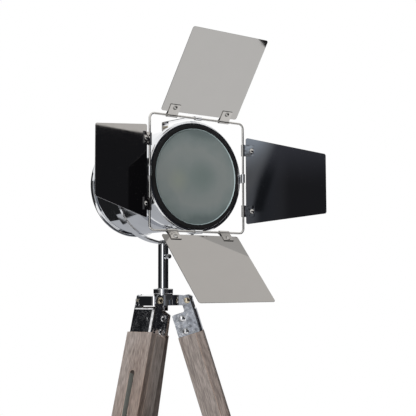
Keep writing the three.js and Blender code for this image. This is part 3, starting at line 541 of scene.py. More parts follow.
CHROME = polished("chrome", (0.84, 0.845, 0.86), 0.03, waves=0.4)
PRESSED_CHROME = polished("pressed_chrome", (0.84, 0.845, 0.86), 0.07, 0.6, 140, waves=0.42, wave_scale=110)
SPUN_CHROME = polished("spun_chrome", (0.80, 0.81, 0.83), 0.035)
DOOR_STEEL = polished("door_steel", (0.442, 0.432, 0.419), 0.02, patina=0.012)
CLIP_STEEL = polished("clip_steel", (0.50, 0.485, 0.465), 0.03, waves=0.25, wave_scale=110)
WIRE_STEEL = polished("wire_steel", (0.66, 0.645, 0.62), 0.05)
BRASSY_STEEL = polished("yellow_plated_steel", (0.62, 0.54, 0.40), 0.10)
# The face boards' sides and the channels' backs get painted shade, and the slot walls get painted light.
FACE_WOOD = stained_wood_and_painted_light("grey_oak_face", "X", (LEG_WIDTH / 2 - 0.6) * MM, 0.8,
                         (SLOT_HALF_WIDTH + 0.05, SLOT_BOTTOM, SLOT_TOP - SLOT_HALF_WIDTH))
CHANNEL_WOOD = stained_wood_and_painted_light("grey_oak_channel", "Y", (LEG_BACK - 0.6) * MM, 0.45)
RUBBER = moulded("rubber", (0.008, 0.008, 0.0085), 0.55, 700, 0.03, specular=0.15)
PLASTIC = moulded("black_plastic", (0.014, 0.014, 0.014), 0.32, 1100, 0.015, specular=0.3)
OPAL = moulded("opal_glass", (0.52, 0.51, 0.48), 0.12, 300, 0.002, specular=0.5)
GLASS = etched_glass_and_painted_light("frosted_glass")


# ---------------- hub and stem

LEG_LETTERS = "abc"
LUG_END = 54
LUG_HALF_WIDTH = 21.7
LUG_CORNER = 10
HUB_RADIUS = 37
HUB_BOTTOM = -9
LUG_TOP = 8
CROWN_TOP = 12
CROWN_RADIUS = 20
STEM_RADIUS = 9.5
STEM_WALL = 1.5
COLLAR_RADIUS = 18
COLLAR_HEIGHT = 9.5
COLLAR_EDGE = 1.5
CENTRE_BOLT_RADIUS = 5
BOLT_HEAD_RADIUS = 10
BOLT_HEAD_HEIGHT = 10


def leg_azimuth(letter):
    """The turn about z that carries a leg's own frame to its place on the hub."""
    across = joint_axis(f"leg_fold_{letter}")
    return math.atan2(across.y, across.x)


def make_hub():
    """A casting with three lugs, whose top slopes from the crown down to their ends."""
    slope = (CROWN_TOP - LUG_TOP) / (LUG_END - CROWN_RADIUS)
    far = 2 * LUG_END
    bounds = lathe([(0, HUB_BOTTOM), (far, HUB_BOTTOM), (far, CROWN_TOP - slope * (far - CROWN_RADIUS)),
                    (CROWN_RADIUS, CROWN_TOP), (0, CROWN_TOP)], "z", 96)
    outline = half_rounded(LUG_HALF_WIDTH, 0, -LUG_END, LUG_CORNER)
    heights = (HUB_BOTTOM - 1, CROWN_TOP + 1)
    lugs = []
    bores = [bore("z", CENTRE_BOLT_RADIUS, *heights)]
    for letter in LEG_LETTERS:
        turn = Matrix.Rotation(leg_azimuth(letter), 4, "Z")
        lugs.append(moved(prism(outline, *heights), turn))
        pivot = shifted(bore("x", PIVOT_BOLT_RADIUS, -LUG_END, LUG_END), y=-PIVOT_RADIUS)
        bores.append(moved(pivot, turn))
    plan = combined(rod("z", HUB_RADIUS, *heights, 96), *lugs)
    add_piece("hub_casting", cut(combined(plan, bounds, operation="INTERSECT"), *bores), STAND, CHROME, 2, 4)


def make_collar():
    inside = STEM_RADIUS + GAP
    bottom = CROWN_TOP + GAP
    top = bottom + COLLAR_HEIGHT
    profile = [(inside, bottom), (COLLAR_RADIUS, bottom), (COLLAR_RADIUS, top - COLLAR_EDGE),
               (COLLAR_RADIUS - COLLAR_EDGE, top), (inside, top)]
    add_piece("stem_collar", lathe(profile, "z"), STAND, CHROME, bevel=0.4)


TILT_HEIGHT = (joint_point("head_tilt").z - PIVOT_HEIGHT) / MM  # of the tilt axis above the leg pivots
PAN_SCREW_HEIGHT = (joint_point("pan_lock_turn").z - PIVOT_HEIGHT) / MM
PIVOT_RADIUS = 45
PIVOT_BOLT_RADIUS = 3.6
YOKE_RADIUS = 112
YOKE_THICKNESS = 3.5
YOKE_OUTER = YOKE_RADIUS + YOKE_THICKNESS / 2
YOKE_INNER = YOKE_RADIUS - YOKE_THICKNESS / 2
SPIGOT_RADIUS = 7.5
SPIGOT_FLANGE = 2
STEM_TOP = TILT_HEIGHT - YOKE_OUTER - SPIGOT_FLANGE - 2 * GAP
PAN_BOSS_RADIUS = 4.5
PAN_BOSS_END = 13
PAN_SCREW_RADIUS = 2.2
PAN_GRIP_RADIUS = 4.2
PAN_GRIP_LENGTH = 7


def make_stem():
    inside = STEM_RADIUS - STEM_WALL
    tube = pipe("z", inside, STEM_RADIUS, CROWN_TOP + GAP, STEM_TOP)
    boss = shifted(rod("-y", PAN_BOSS_RADIUS, inside + 0.5, PAN_BOSS_END), z=PAN_SCREW_HEIGHT)
    hole = shifted(bore("-y", PAN_SCREW_RADIUS, 0, PAN_BOSS_END + 1), z=PAN_SCREW_HEIGHT)
    add_piece("stem_tube", cut(combined(tube, boss), hole), STAND, SPUN_CHROME, bevel=0.3)


def make_centre_bolt():
    top = HUB_BOTTOM - GAP
    hexagon = prism(circle(BOLT_HEAD_RADIUS, 6), top - BOLT_HEAD_HEIGHT, top)
    shank = rod("z", CENTRE_BOLT_RADIUS, top - 1, CROWN_TOP + 6, 32)
    add_piece("hub_bottom_bolt", combined(hexagon, shank), STAND, CHROME, bevel=0.6)


def make_pan_screw():
    start = PAN_BOSS_END + 1.5
    grip = fluted(PAN_GRIP_RADIUS, start, start + PAN_GRIP_LENGTH, "-y", ridges=20, depth=0.35)
    shank = rod("-y", PAN_SCREW_RADIUS, SPIGOT_RADIUS + FIT, start + 0.5, 32)
    screw = shifted(combined(grip, shank), z=PAN_SCREW_HEIGHT)
    add_piece("pan_lock_screw", screw, STAND, CHROME, bevel=0.25)


# ---------------- legs

LEG_FRONT = -11
BOARD_JOINT = 3
LEG_BOTTOM = -560
LEG_TOP = -24
BRACKET_HALF_WIDTH = 23.9
BRACKET_WALL = 1.5
BRACKET_FRONT = -10.6
BRACKET_BACK = 34.4
BRACKET_BOTTOM = -60
BRACKET_FRONT_TOP = -15.5
BRACKET_SIDE_TOP = -18.5  # behind the ears
BRACKET_BEND = 5.5  # outer radius of the bends beside a bracket's front
TONGUE_CORNER = BRACKET_BEND - BRACKET_WALL
EAR_RADIUS = 10.4
SHOULDER = BRACKET_BOTTOM - GAP
TONGUE_HALF_WIDTH = BRACKET_HALF_WIDTH - BRACKET_WALL - GAP
TONGUE_FRONT = BRACKET_FRONT + BRACKET_WALL + GAP
RUNNER_HALF_WIDTH = 16.7
RUNNER_FRONT = 3.3
RUNNER_BACK = 26.7
RUNNER_TOP = -450
GROOVE_TOP = -104
LOCK_BOLT_RADIUS = 4
LOCK_BOLT_DOWN = -480
THREAD_PITCH = 1.2
THREAD_DEPTH = 0.4
LOCK_KNOB_RADIUS = 12
LOCK_KNOB_HEIGHT = 14
LOCK_KNOB_START = 1 - LEG_FRONT  # a millimetre in front of the board
FOOT_HEIGHT = 26
FOOT_OVERHANG = 2.5
FOOT_GROOVE = 1.6  # height of a groove round a foot, twice its depth
RIVET_PLACES = [(18.5, -28.5), (18.5, -52.5)]  # (y, z) on each side of a bracket
RIVET_HEAD = 5.6
RIVET_HEIGHT = 2.2
LIP = 4  # radius of the rolled top edge of a bracket's front
BEYOND = 40  # outside a leg on every side, for the tools that cut right through it


def bracket_shape():
    inner = BRACKET_HALF_WIDTH - BRACKET_WALL
    outside = half_rounded(BRACKET_HALF_WIDTH, BRACKET_BACK, BRACKET_FRONT, BRACKET_BEND, step=7.5)
    inside = half_rounded(inner, BRACKET_BACK, BRACKET_FRONT + BRACKET_WALL, TONGUE_CORNER, step=7.5)
    ear = EAR_RADIUS - 0.1
    side = rounded([
        (BRACKET_FRONT, EAR_RADIUS, ear), (EAR_RADIUS, EAR_RADIUS, ear), (EAR_RADIUS, BRACKET_SIDE_TOP, 4),
        (BRACKET_BACK, BRACKET_SIDE_TOP, 2), (BRACKET_BACK, BRACKET_BOTTOM), (BRACKET_FRONT, BRACKET_BOTTOM),
    ], step=6)
    channel = prism(outside + inside[::-1], BRACKET_BOTTOM - 1, EAR_RADIUS + 1)
    shape = combined(channel, prism(side, -BEYOND, BEYOND, ("y", "z", "x")), operation="INTERSECT")
    lip_foot = BRACKET_FRONT_TOP - LIP
    doorway = block((-inner, BRACKET_FRONT - 1, lip_foot), (inner, BRACKET_FRONT + 2.5, EAR_RADIUS + 2))
    roll = (BRACKET_FRONT + LIP, lip_foot)
    curl = arc(roll, LIP, 180, 90) + arc(roll, LIP - BRACKET_WALL, 90, 180)
    lip_half = BRACKET_HALF_WIDTH - BRACKET_BEND + 1
    lip = prism(curl, -lip_half, lip_half, ("y", "z", "x"))
    pin = bore("x", PIVOT_BOLT_RADIUS, -BEYOND, BEYOND)
    rivets = []
    for sign in ("", "-"):
        for y, z in RIVET_PLACES:
            rivets.append(shifted(dome(RIVET_HEAD, RIVET_HEIGHT, BRACKET_HALF_WIDTH, sign + "x"), y=y, z=z))
    return together(cut(shape, doorway, pin), lip, *rivets)


def pivot_bolt_shape():
    outside = BRACKET_HALF_WIDTH + GAP
    profile = [(0, outside), (5.5, outside), (5.5, outside + 1.4), (4.2, outside + 2.6), (0, outside + 3)]
    shank = rod("x", PIVOT_BOLT_RADIUS, -outside - 0.5, outside + 0.5, 32)
    return together(shank, lathe(profile, "x", 48), lathe(profile, "-x", 48))


def face_board_shape():
    joint = BOARD_JOINT + GAP / 2  # the boards are drawn meeting, so that their joint is a fine line
    body = prism(half_rounded(LEG_WIDTH / 2, joint, LEG_FRONT, 1.5, step=30), LEG_BOTTOM, SHOULDER)
    tongue = prism(half_rounded(TONGUE_HALF_WIDTH, joint, TONGUE_FRONT, TONGUE_CORNER),
                   SHOULDER - 1, LEG_TOP)
    round_end = SLOT_HALF_WIDTH - 0.05
    slot = prism(rectangle(-SLOT_HALF_WIDTH, SLOT_BOTTOM, SLOT_HALF_WIDTH, SLOT_TOP, round_end),
                 -BEYOND, BEYOND, ("x", "z", "-y"))
    return cut(combined(body, tongue), slot)


def channel_shape():
    groove_half = RUNNER_HALF_WIDTH + GAP
    front = BOARD_JOINT + GAP / 2
    body = prism(half_rounded(LEG_WIDTH / 2, front, LEG_BACK, 4, step=18), LEG_BOTTOM, SHOULDER)
    tongue = block((-TONGUE_HALF_WIDTH, front, SHOULDER - 1), (TONGUE_HALF_WIDTH, BRACKET_BACK, LEG_TOP))
    groove = block((-groove_half, front - 1, LEG_BOTTOM - 1), (groove_half, RUNNER_BACK + GAP, GROOVE_TOP))
    return cut(combined(body, tongue), groove)


def floor_depth(place, y):
    """How far down a leg's own z axis the floor is, at the distance y behind its pivot."""
    up, back = place.col[2].z, place.col[1].z
    return -(place.translation.z / MM + y * back) / up


def lower_leg_shape(foot_top):
    bar = block((-RUNNER_HALF_WIDTH, RUNNER_FRONT, foot_top), (RUNNER_HALF_WIDTH, RUNNER_BACK, RUNNER_TOP))
    hole = bore("y", LOCK_BOLT_RADIUS, RUNNER_FRONT - 1, RUNNER_BACK - 4)
    return cut(bar, shifted(hole, z=LOCK_BOLT_DOWN))


def foot_shape(place, foot_top):
    """A rubber boot with two grooves round it, cut off level with the floor."""
    half = RUNNER_HALF_WIDTH + FOOT_OVERHANG
    front, back = RUNNER_FRONT - FOOT_OVERHANG, RUNNER_BACK + FOOT_OVERHANG
    top = foot_top - GAP
    bottom = top - 2 * FOOT_HEIGHT

    def slab(overhang, low, high):
        return block((-half - overhang, front - overhang, low), (half + overhang, back + overhang, high))

    grooves = []
    for groove_top in (top - 6, top - 10):
        heights = (groove_top - FOOT_GROOVE, groove_top)
        grooves.append(cut(slab(1, *heights), slab(-FOOT_GROOVE / 2, *heights)))
    near, far, deep = front - 5, back + 5, bottom - BEYOND
    ground = [(near, floor_depth(place, near)), (far, floor_depth(place, far)), (far, deep), (near, deep)]
    return cut(slab(0, bottom, top), *grooves, prism(ground, -half - 5, half + 5, ("y", "z", "x")))


def lock_bolt_shape():
    """A bolt whose back end is set in the lower leg and whose thread ends inside the knob."""
    start = RUNNER_BACK - 5
    tip = 3 - LOCK_KNOB_START - LOCK_KNOB_HEIGHT
    profile = [(0, tip), (LOCK_BOLT_RADIUS - 1, tip)]
    place = tip + THREAD_PITCH
    while place < -LOCK_KNOB_START:
        profile += [(LOCK_BOLT_RADIUS, place), (LOCK_BOLT_RADIUS - THREAD_DEPTH, place + THREAD_PITCH / 2)]
        place += THREAD_PITCH
    profile += [(LOCK_BOLT_RADIUS, place), (LOCK_BOLT_RADIUS, start), (0, start)]
    return shifted(lathe(profile, "y", 32), z=LOCK_BOLT_DOWN)


KNOB_COLLAR = 3
KNOB_COLLAR_RADIUS = 8


def knob_shape(radius, height, start, hole_radius, axis):
    """A fluted knob on a round collar, bored for its screw, with a shallow dish in its face."""
    grip = fluted(radius, start + KNOB_COLLAR, start + height, axis, ridges=9, depth=1.6)
    collar = rod(axis, KNOB_COLLAR_RADIUS, start, start + KNOB_COLLAR + 1)
    end = start + height
    dish = lathe([(0, end - 1), (radius - 5, end - 1), (radius - 3.5, end + 1), (0, end + 1)], axis, 48)
    hole = rod(axis, hole_radius, start - 1, end - 2.5, 32)
    return cut(combined(grip, collar), dish, hole)


def make_leg(letter):
    place = leg_frame(letter)
    foot_top = FOOT_HEIGHT - place.translation.z / MM / place.col[2].z
    add_piece(f"leg_bracket_{letter}", bracket_shape(), place, PRESSED_CHROME, bevel=0.25)
    add_piece(f"leg_pivot_bolt_{letter}", pivot_bolt_shape(), place, BRASSY_STEEL, bevel=0.3)
    add_piece(f"leg_face_board_{letter}", face_board_shape(), place, FACE_WOOD, bevel=0.6)
    add_piece(f"leg_channel_{letter}", channel_shape(), place, CHANNEL_WOOD, bevel=0.4)
    add_piece(f"lower_leg_{letter}", lower_leg_shape(foot_top), place, CHANNEL_WOOD, bevel=0.8)
    upright = Matrix.LocRotScale(place.translation / MM, place.to_quaternion(), None)
    add_piece(f"foot_{letter}", moved(foot_shape(place, foot_top), upright), Matrix(), RUBBER, bevel=0.5)
    add_piece(f"leg_lock_bolt_{letter}", lock_bolt_shape(), place, CHROME, bevel=0)
    knob = knob_shape(LOCK_KNOB_RADIUS, LOCK_KNOB_HEIGHT, LOCK_KNOB_START, LOCK_BOLT_RADIUS + FIT, "-y")
    knob = shifted(knob, z=LOCK_BOLT_DOWN)
    add_piece(f"leg_lock_knob_{letter}", knob, place, PLASTIC, bevel=0.5, segments=3)


# ---------------- yoke

YOKE_HALF_WIDTH = 10
YOKE_TOP = 12
TILT_SCREW_RADIUS = 3
TILT_SCREW_REACH = 8
SPIGOT_NECK = 4
SPIGOT_LENGTH = 52


def make_yoke():
    path = [(YOKE_RADIUS, YOKE_TOP)] + arc((0, 0), YOKE_RADIUS, 0, -180, 3) + [(-YOKE_RADIUS, YOKE_TOP)]
    half = YOKE_THICKNESS / 2
    band = sweep(path, rectangle(-half, -YOKE_HALF_WIDTH, half, YOKE_HALF_WIDTH), ("x", "z", "y"))
    side = half_rounded(YOKE_HALF_WIDTH, -YOKE_OUTER - 1, YOKE_TOP, YOKE_HALF_WIDTH - 0.1)
    across = (-2 * YOKE_OUTER, 2 * YOKE_OUTER)
    bar = combined(band, prism(side, *across, ("y", "z", "x")), operation="INTERSECT")
    pivots = bore("x", TILT_SCREW_RADIUS, *across)
    foot = bore("z", SPIGOT_NECK, -YOKE_OUTER - 2, 2 - YOKE_INNER)
    add_piece("yoke", cut(bar, pivots, foot), HEAD, CHROME, bevel=0.5)


def make_spigot():
    under = -YOKE_OUTER - GAP
    end, flange, head = under - SPIGOT_LENGTH, under - SPIGOT_FLANGE, GAP - YOKE_INNER
    profile = [(0, end), (SPIGOT_RADIUS, end), (SPIGOT_RADIUS, flange), (STEM_RADIUS, flange),
               (STEM_RADIUS, under), (SPIGOT_NECK, under), (SPIGOT_NECK, head), (2 * SPIGOT_NECK, head),
               (1.5 * SPIGOT_NECK, 3 - YOKE_INNER), (0, 3 - YOKE_INNER)]
    add_piece("yoke_spigot", lathe(profile, "z", 64), HEAD, SPUN_CHROME, bevel=0.3)


BOSS_END = YOKE_INNER - 1.2
BOSS_RADIUS = 9
TILT_KNOB_RADIUS = 13
TILT_KNOB_HEIGHT = 15


def make_tilt_knobs():
    start = YOKE_OUTER + GAP
    for side, axis in (("left", "-x"), ("right", "x")):
        knob = knob_shape(TILT_KNOB_RADIUS, TILT_KNOB_HEIGHT, start, 1, axis)
        shank = rod(axis, TILT_SCREW_RADIUS, BOSS_END - TILT_SCREW_REACH, start + 1, 32)
        add_piece(f"tilt_knob_{side}", together(knob, shank), HEAD, PLASTIC, bevel=0.5, segments=3)


# ---------------- head

DRUM_RADIUS = 92
DRUM_WALL = 1.6
DRUM_FRONT = -100
DRUM_BACK = 103
BEZEL_RADIUS = 99
BEZEL_FRONT = -106.6
BEZEL_BACK = -94
GASKET_FRONT = -108.8
GASKET_RADIUS = 92.5
GLASS_RADIUS = 85.2
LIP_RADIUS = 86
BEZEL_LIP = 1.4
LENS_FRONT = GASKET_FRONT + 1.6
LENS_THICKNESS = 3
RIM_RADIUS = 96.6
RIM_FRONT = 96.3
RIM_BACK = 107.2
RIM_BULGE = 7.1  # radius of the rim's rounded section
COVER_SEAT = DRUM_BACK + GAP
COVER_DOME = 10
COVER_WALL = 1.6
GLAND_BELOW = 55
GLAND_NECK = 5
GLAND_BORE = 3.4
FINE = 192  # segments round the head


def make_drum():
    tube = pipe("y", DRUM_RADIUS - DRUM_WALL, DRUM_RADIUS, DRUM_FRONT, DRUM_BACK, FINE)
    bosses = [rod(axis, BOSS_RADIUS, DRUM_RADIUS - 1, BOSS_END) for axis in ("x", "-x")]
    bores = [bore(axis, TILT_SCREW_RADIUS, BOSS_END - TILT_SCREW_REACH - 2, BOSS_END + 1)
             for axis in ("x", "-x")]
    add_piece("drum", cut(combined(tube, *bosses), *bores), HEAD, SPUN_CHROME, bevel=0.5)


def make_rear_cover():
    inside = DRUM_RADIUS + GAP
    rim_half = (RIM_BACK - RIM_FRONT) / 2
    rim_turn = math.degrees(math.asin(rim_half / RIM_BULGE))
    rim = arc((RIM_RADIUS - RIM_BULGE, RIM_FRONT + rim_half), RIM_BULGE, -rim_turn, rim_turn, 5)
    profile = [(0, COVER_SEAT + COVER_DOME), (70, COVER_SEAT + COVER_DOME - 2), (84, COVER_SEAT),
               (inside, COVER_SEAT), (inside, RIM_FRONT), *rim, (86, RIM_BACK),
               (71, COVER_SEAT + COVER_DOME + COVER_WALL - 1), (0, COVER_SEAT + COVER_DOME + COVER_WALL + 1)]
    vents = []
    for row in range(-2, 3):
        half = 26 - 5 * abs(row)
        middle = 32 + 9 * row
        outline = rectangle(-half, middle - 2, half, middle + 2, 1.95)
        vents.append(prism(outline, COVER_SEAT, RIM_BACK + COVER_DOME, ("x", "z", "y")))
    gland_hole = shifted(rod("y", GLAND_NECK + 0.5, COVER_SEAT, RIM_BACK + COVER_DOME, 48), z=-GLAND_BELOW)
    cover = cut(lathe(profile, "y", FINE), *vents, gland_hole)
    add_piece("rear_cover", cover, HEAD, SPUN_CHROME, bevel=0.3)


def make_bezel():
    seat = DRUM_FRONT - FIT
    hole = GASKET_RADIUS + GAP
    profile = [(hole, BEZEL_FRONT), (BEZEL_RADIUS - 2, BEZEL_FRONT), (BEZEL_RADIUS, BEZEL_FRONT + 2),
               (BEZEL_RADIUS, BEZEL_BACK), (DRUM_RADIUS + GAP, BEZEL_BACK), (DRUM_RADIUS + GAP, seat),
               (LIP_RADIUS, seat), (LIP_RADIUS, seat - BEZEL_LIP), (hole, seat - BEZEL_LIP)]
    add_piece("bezel", lathe(profile, "y", FINE), HEAD, SPUN_CHROME, bevel=0.4)


def make_gasket():
    back = DRUM_FRONT - FIT - BEZEL_LIP - GAP
    behind_lens = LENS_FRONT + LENS_THICKNESS + GAP
    groove = LENS_EDGE + GAP
    profile = [(GLASS_RADIUS, GASKET_FRONT + 0.8), (GLASS_RADIUS + 2, GASKET_FRONT),
               (GASKET_RADIUS - 1, GASKET_FRONT), (GASKET_RADIUS, GASKET_FRONT + 1),
               (GASKET_RADIUS, back), (GLASS_RADIUS, back),
               (GLASS_RADIUS, behind_lens), (groove, behind_lens), (groove, LENS_FRONT - GAP),
               (GLASS_RADIUS, LENS_FRONT - GAP)]
    add_piece("lens_gasket", lathe(profile, "y", FINE), HEAD, RUBBER, bevel=0.3)


def make_lens():
    """The lens, its front drawn as rings, with a bead that rises inside the gasket to the front of it."""
    foot = GLASS_RADIUS - 1.5
    front = [(foot * k / 5, LENS_FRONT) for k in range(6)]
    bead = [(GLASS_RADIUS - GAP - 0.1, GASKET_FRONT + 0.1), (GLASS_RADIUS - GAP, GASKET_FRONT + 0.1),
            (GLASS_RADIUS - GAP, LENS_FRONT), (LENS_EDGE, LENS_FRONT)]
    back = [(LENS_EDGE, LENS_FRONT + LENS_THICKNESS), (0, LENS_FRONT + LENS_THICKNESS)]
    add_piece("lens", lathe(front + bead + back, "y", FINE), HEAD, GLASS, bevel=0.15)


HOLDER_FRONT = 34
HOLDER_BACK = 92
HOLDER_RADIUS = 20
HOLDER_BORE = 22
BULB_NECK = 12.5
BULB_RADIUS = 30
BULB_MIDDLE = -12


def make_holder():
    bottom = HOLDER_FRONT + HOLDER_BORE
    ribs = []
    for k in range(6):
        place = HOLDER_FRONT + 8 + 6 * k
        ribs += [(HOLDER_RADIUS, place), (HOLDER_RADIUS - 1, place + 1), (HOLDER_RADIUS - 1, place + 3),
                 (HOLDER_RADIUS, place + 4)]
    profile = [(0, bottom), (BULB_NECK + 1.5, bottom), (BULB_NECK + 1.5, HOLDER_FRONT),
               (HOLDER_RADIUS - 2, HOLDER_FRONT), (HOLDER_RADIUS, HOLDER_FRONT + 3), *ribs,
               (HOLDER_RADIUS, HOLDER_BACK - 6), (HOLDER_RADIUS - 6, HOLDER_BACK), (0, HOLDER_BACK)]
    add_piece("lamp_holder", lathe(profile, "y", 64), HEAD, PLASTIC, bevel=0.3)


def make_holder_bracket():
    reach = DRUM_RADIUS - DRUM_WALL - 2
    near, far = HOLDER_BACK + GAP, HOLDER_BACK + GAP + 2
    tip = HOLDER_BACK - 10
    outline = rounded([(-reach, far, 2.5), (-reach, tip), (2 - reach, tip), (2 - reach, near, 0.8),
                       (reach - 2, near, 0.8), (reach - 2, tip), (reach, tip), (reach, far, 2.5)])
    add_piece("holder_bracket", prism(outline, -11, 11), HEAD, CHROME, bevel=0.3)


def make_bulb():
    globe = arc((0, BULB_MIDDLE), BULB_RADIUS, -85, 45, 5)
    end = HOLDER_FRONT + HOLDER_BORE - 2
    profile = [(0, BULB_MIDDLE - BULB_RADIUS), *globe, (BULB_NECK + 2.5, HOLDER_FRONT - BULB_NECK),
               (BULB_NECK, HOLDER_FRONT), (BULB_NECK, end), (0, end)]
    add_piece("bulb", lathe(profile, "y", 96), HEAD, OPAL, bevel=0)


def make_gland():
    """The ring that a cord would leave the rear cover by, its nut fluted for a spanner."""
    inside = COVER_SEAT + COVER_DOME
    seat = inside + COVER_WALL + GAP + 0.6
    sleeve = pipe("y", GLAND_BORE, GLAND_NECK, inside - 6, seat + 1, 48)
    grip = fluted(GLAND_NECK + 3, seat, seat + 5, "y", ridges=12, depth=0.6)
    nut = cut(grip, rod("y", GLAND_BORE, seat - 1, seat + 6, 48))
    foot, tip = seat + 4, seat + 10.5
    nose = lathe([(GLAND_BORE, foot), (GLAND_NECK + 2, foot), (GLAND_NECK + 0.5, tip), (GLAND_BORE, tip)],
                 "y", 48)
    add_piece("cord_gland", shifted(combined(sleeve, nut, nose), z=-GLAND_BELOW), HEAD, PLASTIC, bevel=0.3)


# ---------------- barn doors

FRAME_HALF = 100
FRAME_RISE = 2.8  # the wire frame's centre above the head's axis
WIRE_RADIUS = 2
FRAME_CORNER = 9
LOOP_MIDDLE = 2.925
STRIP = 1.15
STRIP_HALF = STRIP / 2
DOOR_THICKNESS = 1.2
CLIP_OFFSET = 55.6
CLIP_HALF_LENGTH = 10.5
CLIP_LEAF = 21.5
CLIP_RIVET_AT = 16
RIVET_OF_CLIP = (4.2, 2.2)  # its head's radius and height
STRAP_WIDTH = 16
TOP_STRAP_WIDTH = 14
TOP_STRAP_REACH = 107  # from the wire back to the strap's raised end
TOP_STRAP_RISE = 9
# Of each door: hinge edge, outer edge and length, how far it starts from the wire and has slid along it
DOORS = {
    "top": (161.5, 157.5, 157, 7.4, 0),
    "right": (159, 112, 159.6, 5.4, 4),
    "bottom": (161.5, 157.5, 157, 9.6, 0),
    "left": (159, 112, 158, 9.8, -1),
}


def make_wire_frame():
    centre = sum((joint_point(f"door_{side}_swing") for side in DOORS), Vector()) / len(DOORS)
    reach = FRAME_HALF - FRAME_CORNER
    path = []
    for x, z, start in [(-reach, -reach, 270), (-reach, reach, 180), (reach, reach, 90), (reach, -reach, 0)]:
        path += arc((x, z), FRAME_CORNER, start, start - 90, 7.5)
    wire = sweep(path, circle(WIRE_RADIUS), ("x", "z", "y"), closed=True)
    add_piece("barn_door_frame", wire, Matrix.Translation(centre), WIRE_STEEL, bevel=0)


def door_shape(inner, outer, length, start, slid):
    far = start + length
    outline = rounded([(slid - inner / 2, start, 4), (slid + inner / 2, start, 4),
                       (slid + outer / 2, far, 4), (slid - outer / 2, far, 4)])
    half = DOOR_THICKNESS / 2
    return prism(outline, -half, half, ("x", "z", "-y"))


def clip_shape():
    """A strip folded round the wire, with a leaf on each face of the door and a domed rivet through them."""
    leaf = DOOR_THICKNESS / 2 + GAP + STRIP_HALF
    turn = math.degrees(math.acos(leaf / LOOP_MIDDLE))
    path = [(leaf, CLIP_LEAF)] + arc((0, 0), LOOP_MIDDLE, turn, -180 - turn, 9) + [(-leaf, CLIP_LEAF)]
    section = rectangle(-STRIP_HALF, -CLIP_HALF_LENGTH, STRIP_HALF, CLIP_HALF_LENGTH)
    strip = sweep(path, section, ("-y", "z", "x"))
    heads = [shifted(dome(*RIVET_OF_CLIP, leaf + STRIP_HALF, axis), z=CLIP_RIVET_AT) for axis in ("y", "-y")]
    return together(strip, *heads)


def strap_shape(path, width):
    """A flat strap along a path that ends in a loop round the wire."""
    loop = arc((0, 0), LOOP_MIDDLE, 90, -160, 10)
    section = rectangle(-STRIP_HALF, -width / 2, STRIP_HALF, width / 2)
    return sweep(path + loop, section, ("-y", "z", "x"))


def short_strap(wire_radius):
    foot = BEZEL_RADIUS + FIT + STRIP_HALF - wire_radius
    path = rounded([(-18.3, foot), (-8.3, foot, 1.2), (-4.7, LOOP_MIDDLE, 1.2), (-1, LOOP_MIDDLE)])
    return strap_shape(path[:-1], STRAP_WIDTH)


def top_strap(wire_radius):
    foot = DRUM_RADIUS + FIT + STRIP_HALF - wire_radius
    back, rise = STRIP_HALF - TOP_STRAP_REACH, TOP_STRAP_RISE - STRIP_HALF
    path = rounded([(-95, foot), (back, foot, 1), (back, rise, 1.5),
                    (-20, LOOP_MIDDLE + 2, 6), (-3, LOOP_MIDDLE)])
    return strap_shape(path, TOP_STRAP_WIDTH)


def strap_screw():
    face = TOP_STRAP_REACH + GAP
    head = cut(rod("y", 4.5, face, face + 4, 48), block((-5, face + 3, -0.5), (5, face + 5, 0.5)))
    return together(head, rod("y", 2, face - 8, face + 0.5, 32))


def make_doors():
    for side, sizes in DOORS.items():
        slid = sizes[-1]
        place = door_frame(side)
        add_piece(f"barn_door_{side}", door_shape(*sizes), place, DOOR_STEEL, bevel=0.25)
        for number, sign in (("1", -1), ("2", 1)):
            clip = shifted(clip_shape(), x=slid + sign * CLIP_OFFSET)
            add_piece(f"hinge_clip_{side}_{number}", clip, place, CLIP_STEEL, bevel=0.2)
    on_wire = {side: wire_frame_side(side) for side in DOORS}
    rises = {"top": FRAME_RISE, "right": 0, "bottom": -FRAME_RISE, "left": 0}
    for side, rise in rises.items():
        strap = top_strap(FRAME_HALF + rise) if side == "top" else short_strap(FRAME_HALF + rise)
        add_piece(f"frame_strap_{side}", strap, on_wire[side], CHROME, bevel=0.2)
    add_piece("top_strap_screw", strap_screw(), on_wire["top"], BRASSY_STEEL, bevel=0.3)


# ---------------- assembly

make_hub()
make_collar()
make_stem()
make_centre_bolt()
make_pan_screw()
for leg in LEG_LETTERS:
    make_leg(leg)
make_yoke()
make_spigot()
make_tilt_knobs()
make_drum()
make_rear_cover()
make_bezel()
make_gasket()
make_lens()
make_holder()
make_holder_bracket()
make_bulb()
make_gland()
make_wire_frame()
make_doors()


# ---------------- studio
# The camera, lamps, floor and the cards that the polished metal mirrors. Azimuths here are in degrees about
# the stem, from -y towards +x; distances and heights are in metres.

CAMERA_PLACE = Vector((-0.899, -1.392, -0.1914))  # from the tilt axis
CAMERA_HEADING = 35.72
CAMERA_RISE = 4.96
CAMERA_ROLL = -0.18
CAMERA_LENS = 77.58


def direction(azimuth, elevation):
    a, e = math.radians(azimuth), math.radians(elevation)
    return Vector((math.sin(a) * math.cos(e), -math.cos(a) * math.cos(e), math.sin(e)))


def make_camera():
    """The photograph's view: from the front left, a little below the head and looking up at it."""
    data = bpy.data.cameras.new("camera")
    data.sensor_width = 36
    data.lens = CAMERA_LENS
    camera = bpy.data.objects.new("camera", data)
    scene.collection.objects.link(camera)
    scene.camera = camera
    camera.location = joint_point("head_tilt") + CAMERA_PLACE
    looking = direction(180 - CAMERA_HEADING, CAMERA_RISE).to_track_quat("-Z", "Y")
    camera.rotation_mode = "QUATERNION"
    camera.rotation_quaternion = looking @ Matrix.Rotation(math.radians(CAMERA_ROLL), 3, "Z").to_quaternion()


def empty_material(name):
    material = bpy.data.materials.new(name)
    material.use_nodes = True
    material.node_tree.nodes.clear()
    return material, material.node_tree


def emission(tree, color, strength=1.0):
    return node(tree, "Emission", [("Color", color), ("Strength", strength)]).outputs[0]


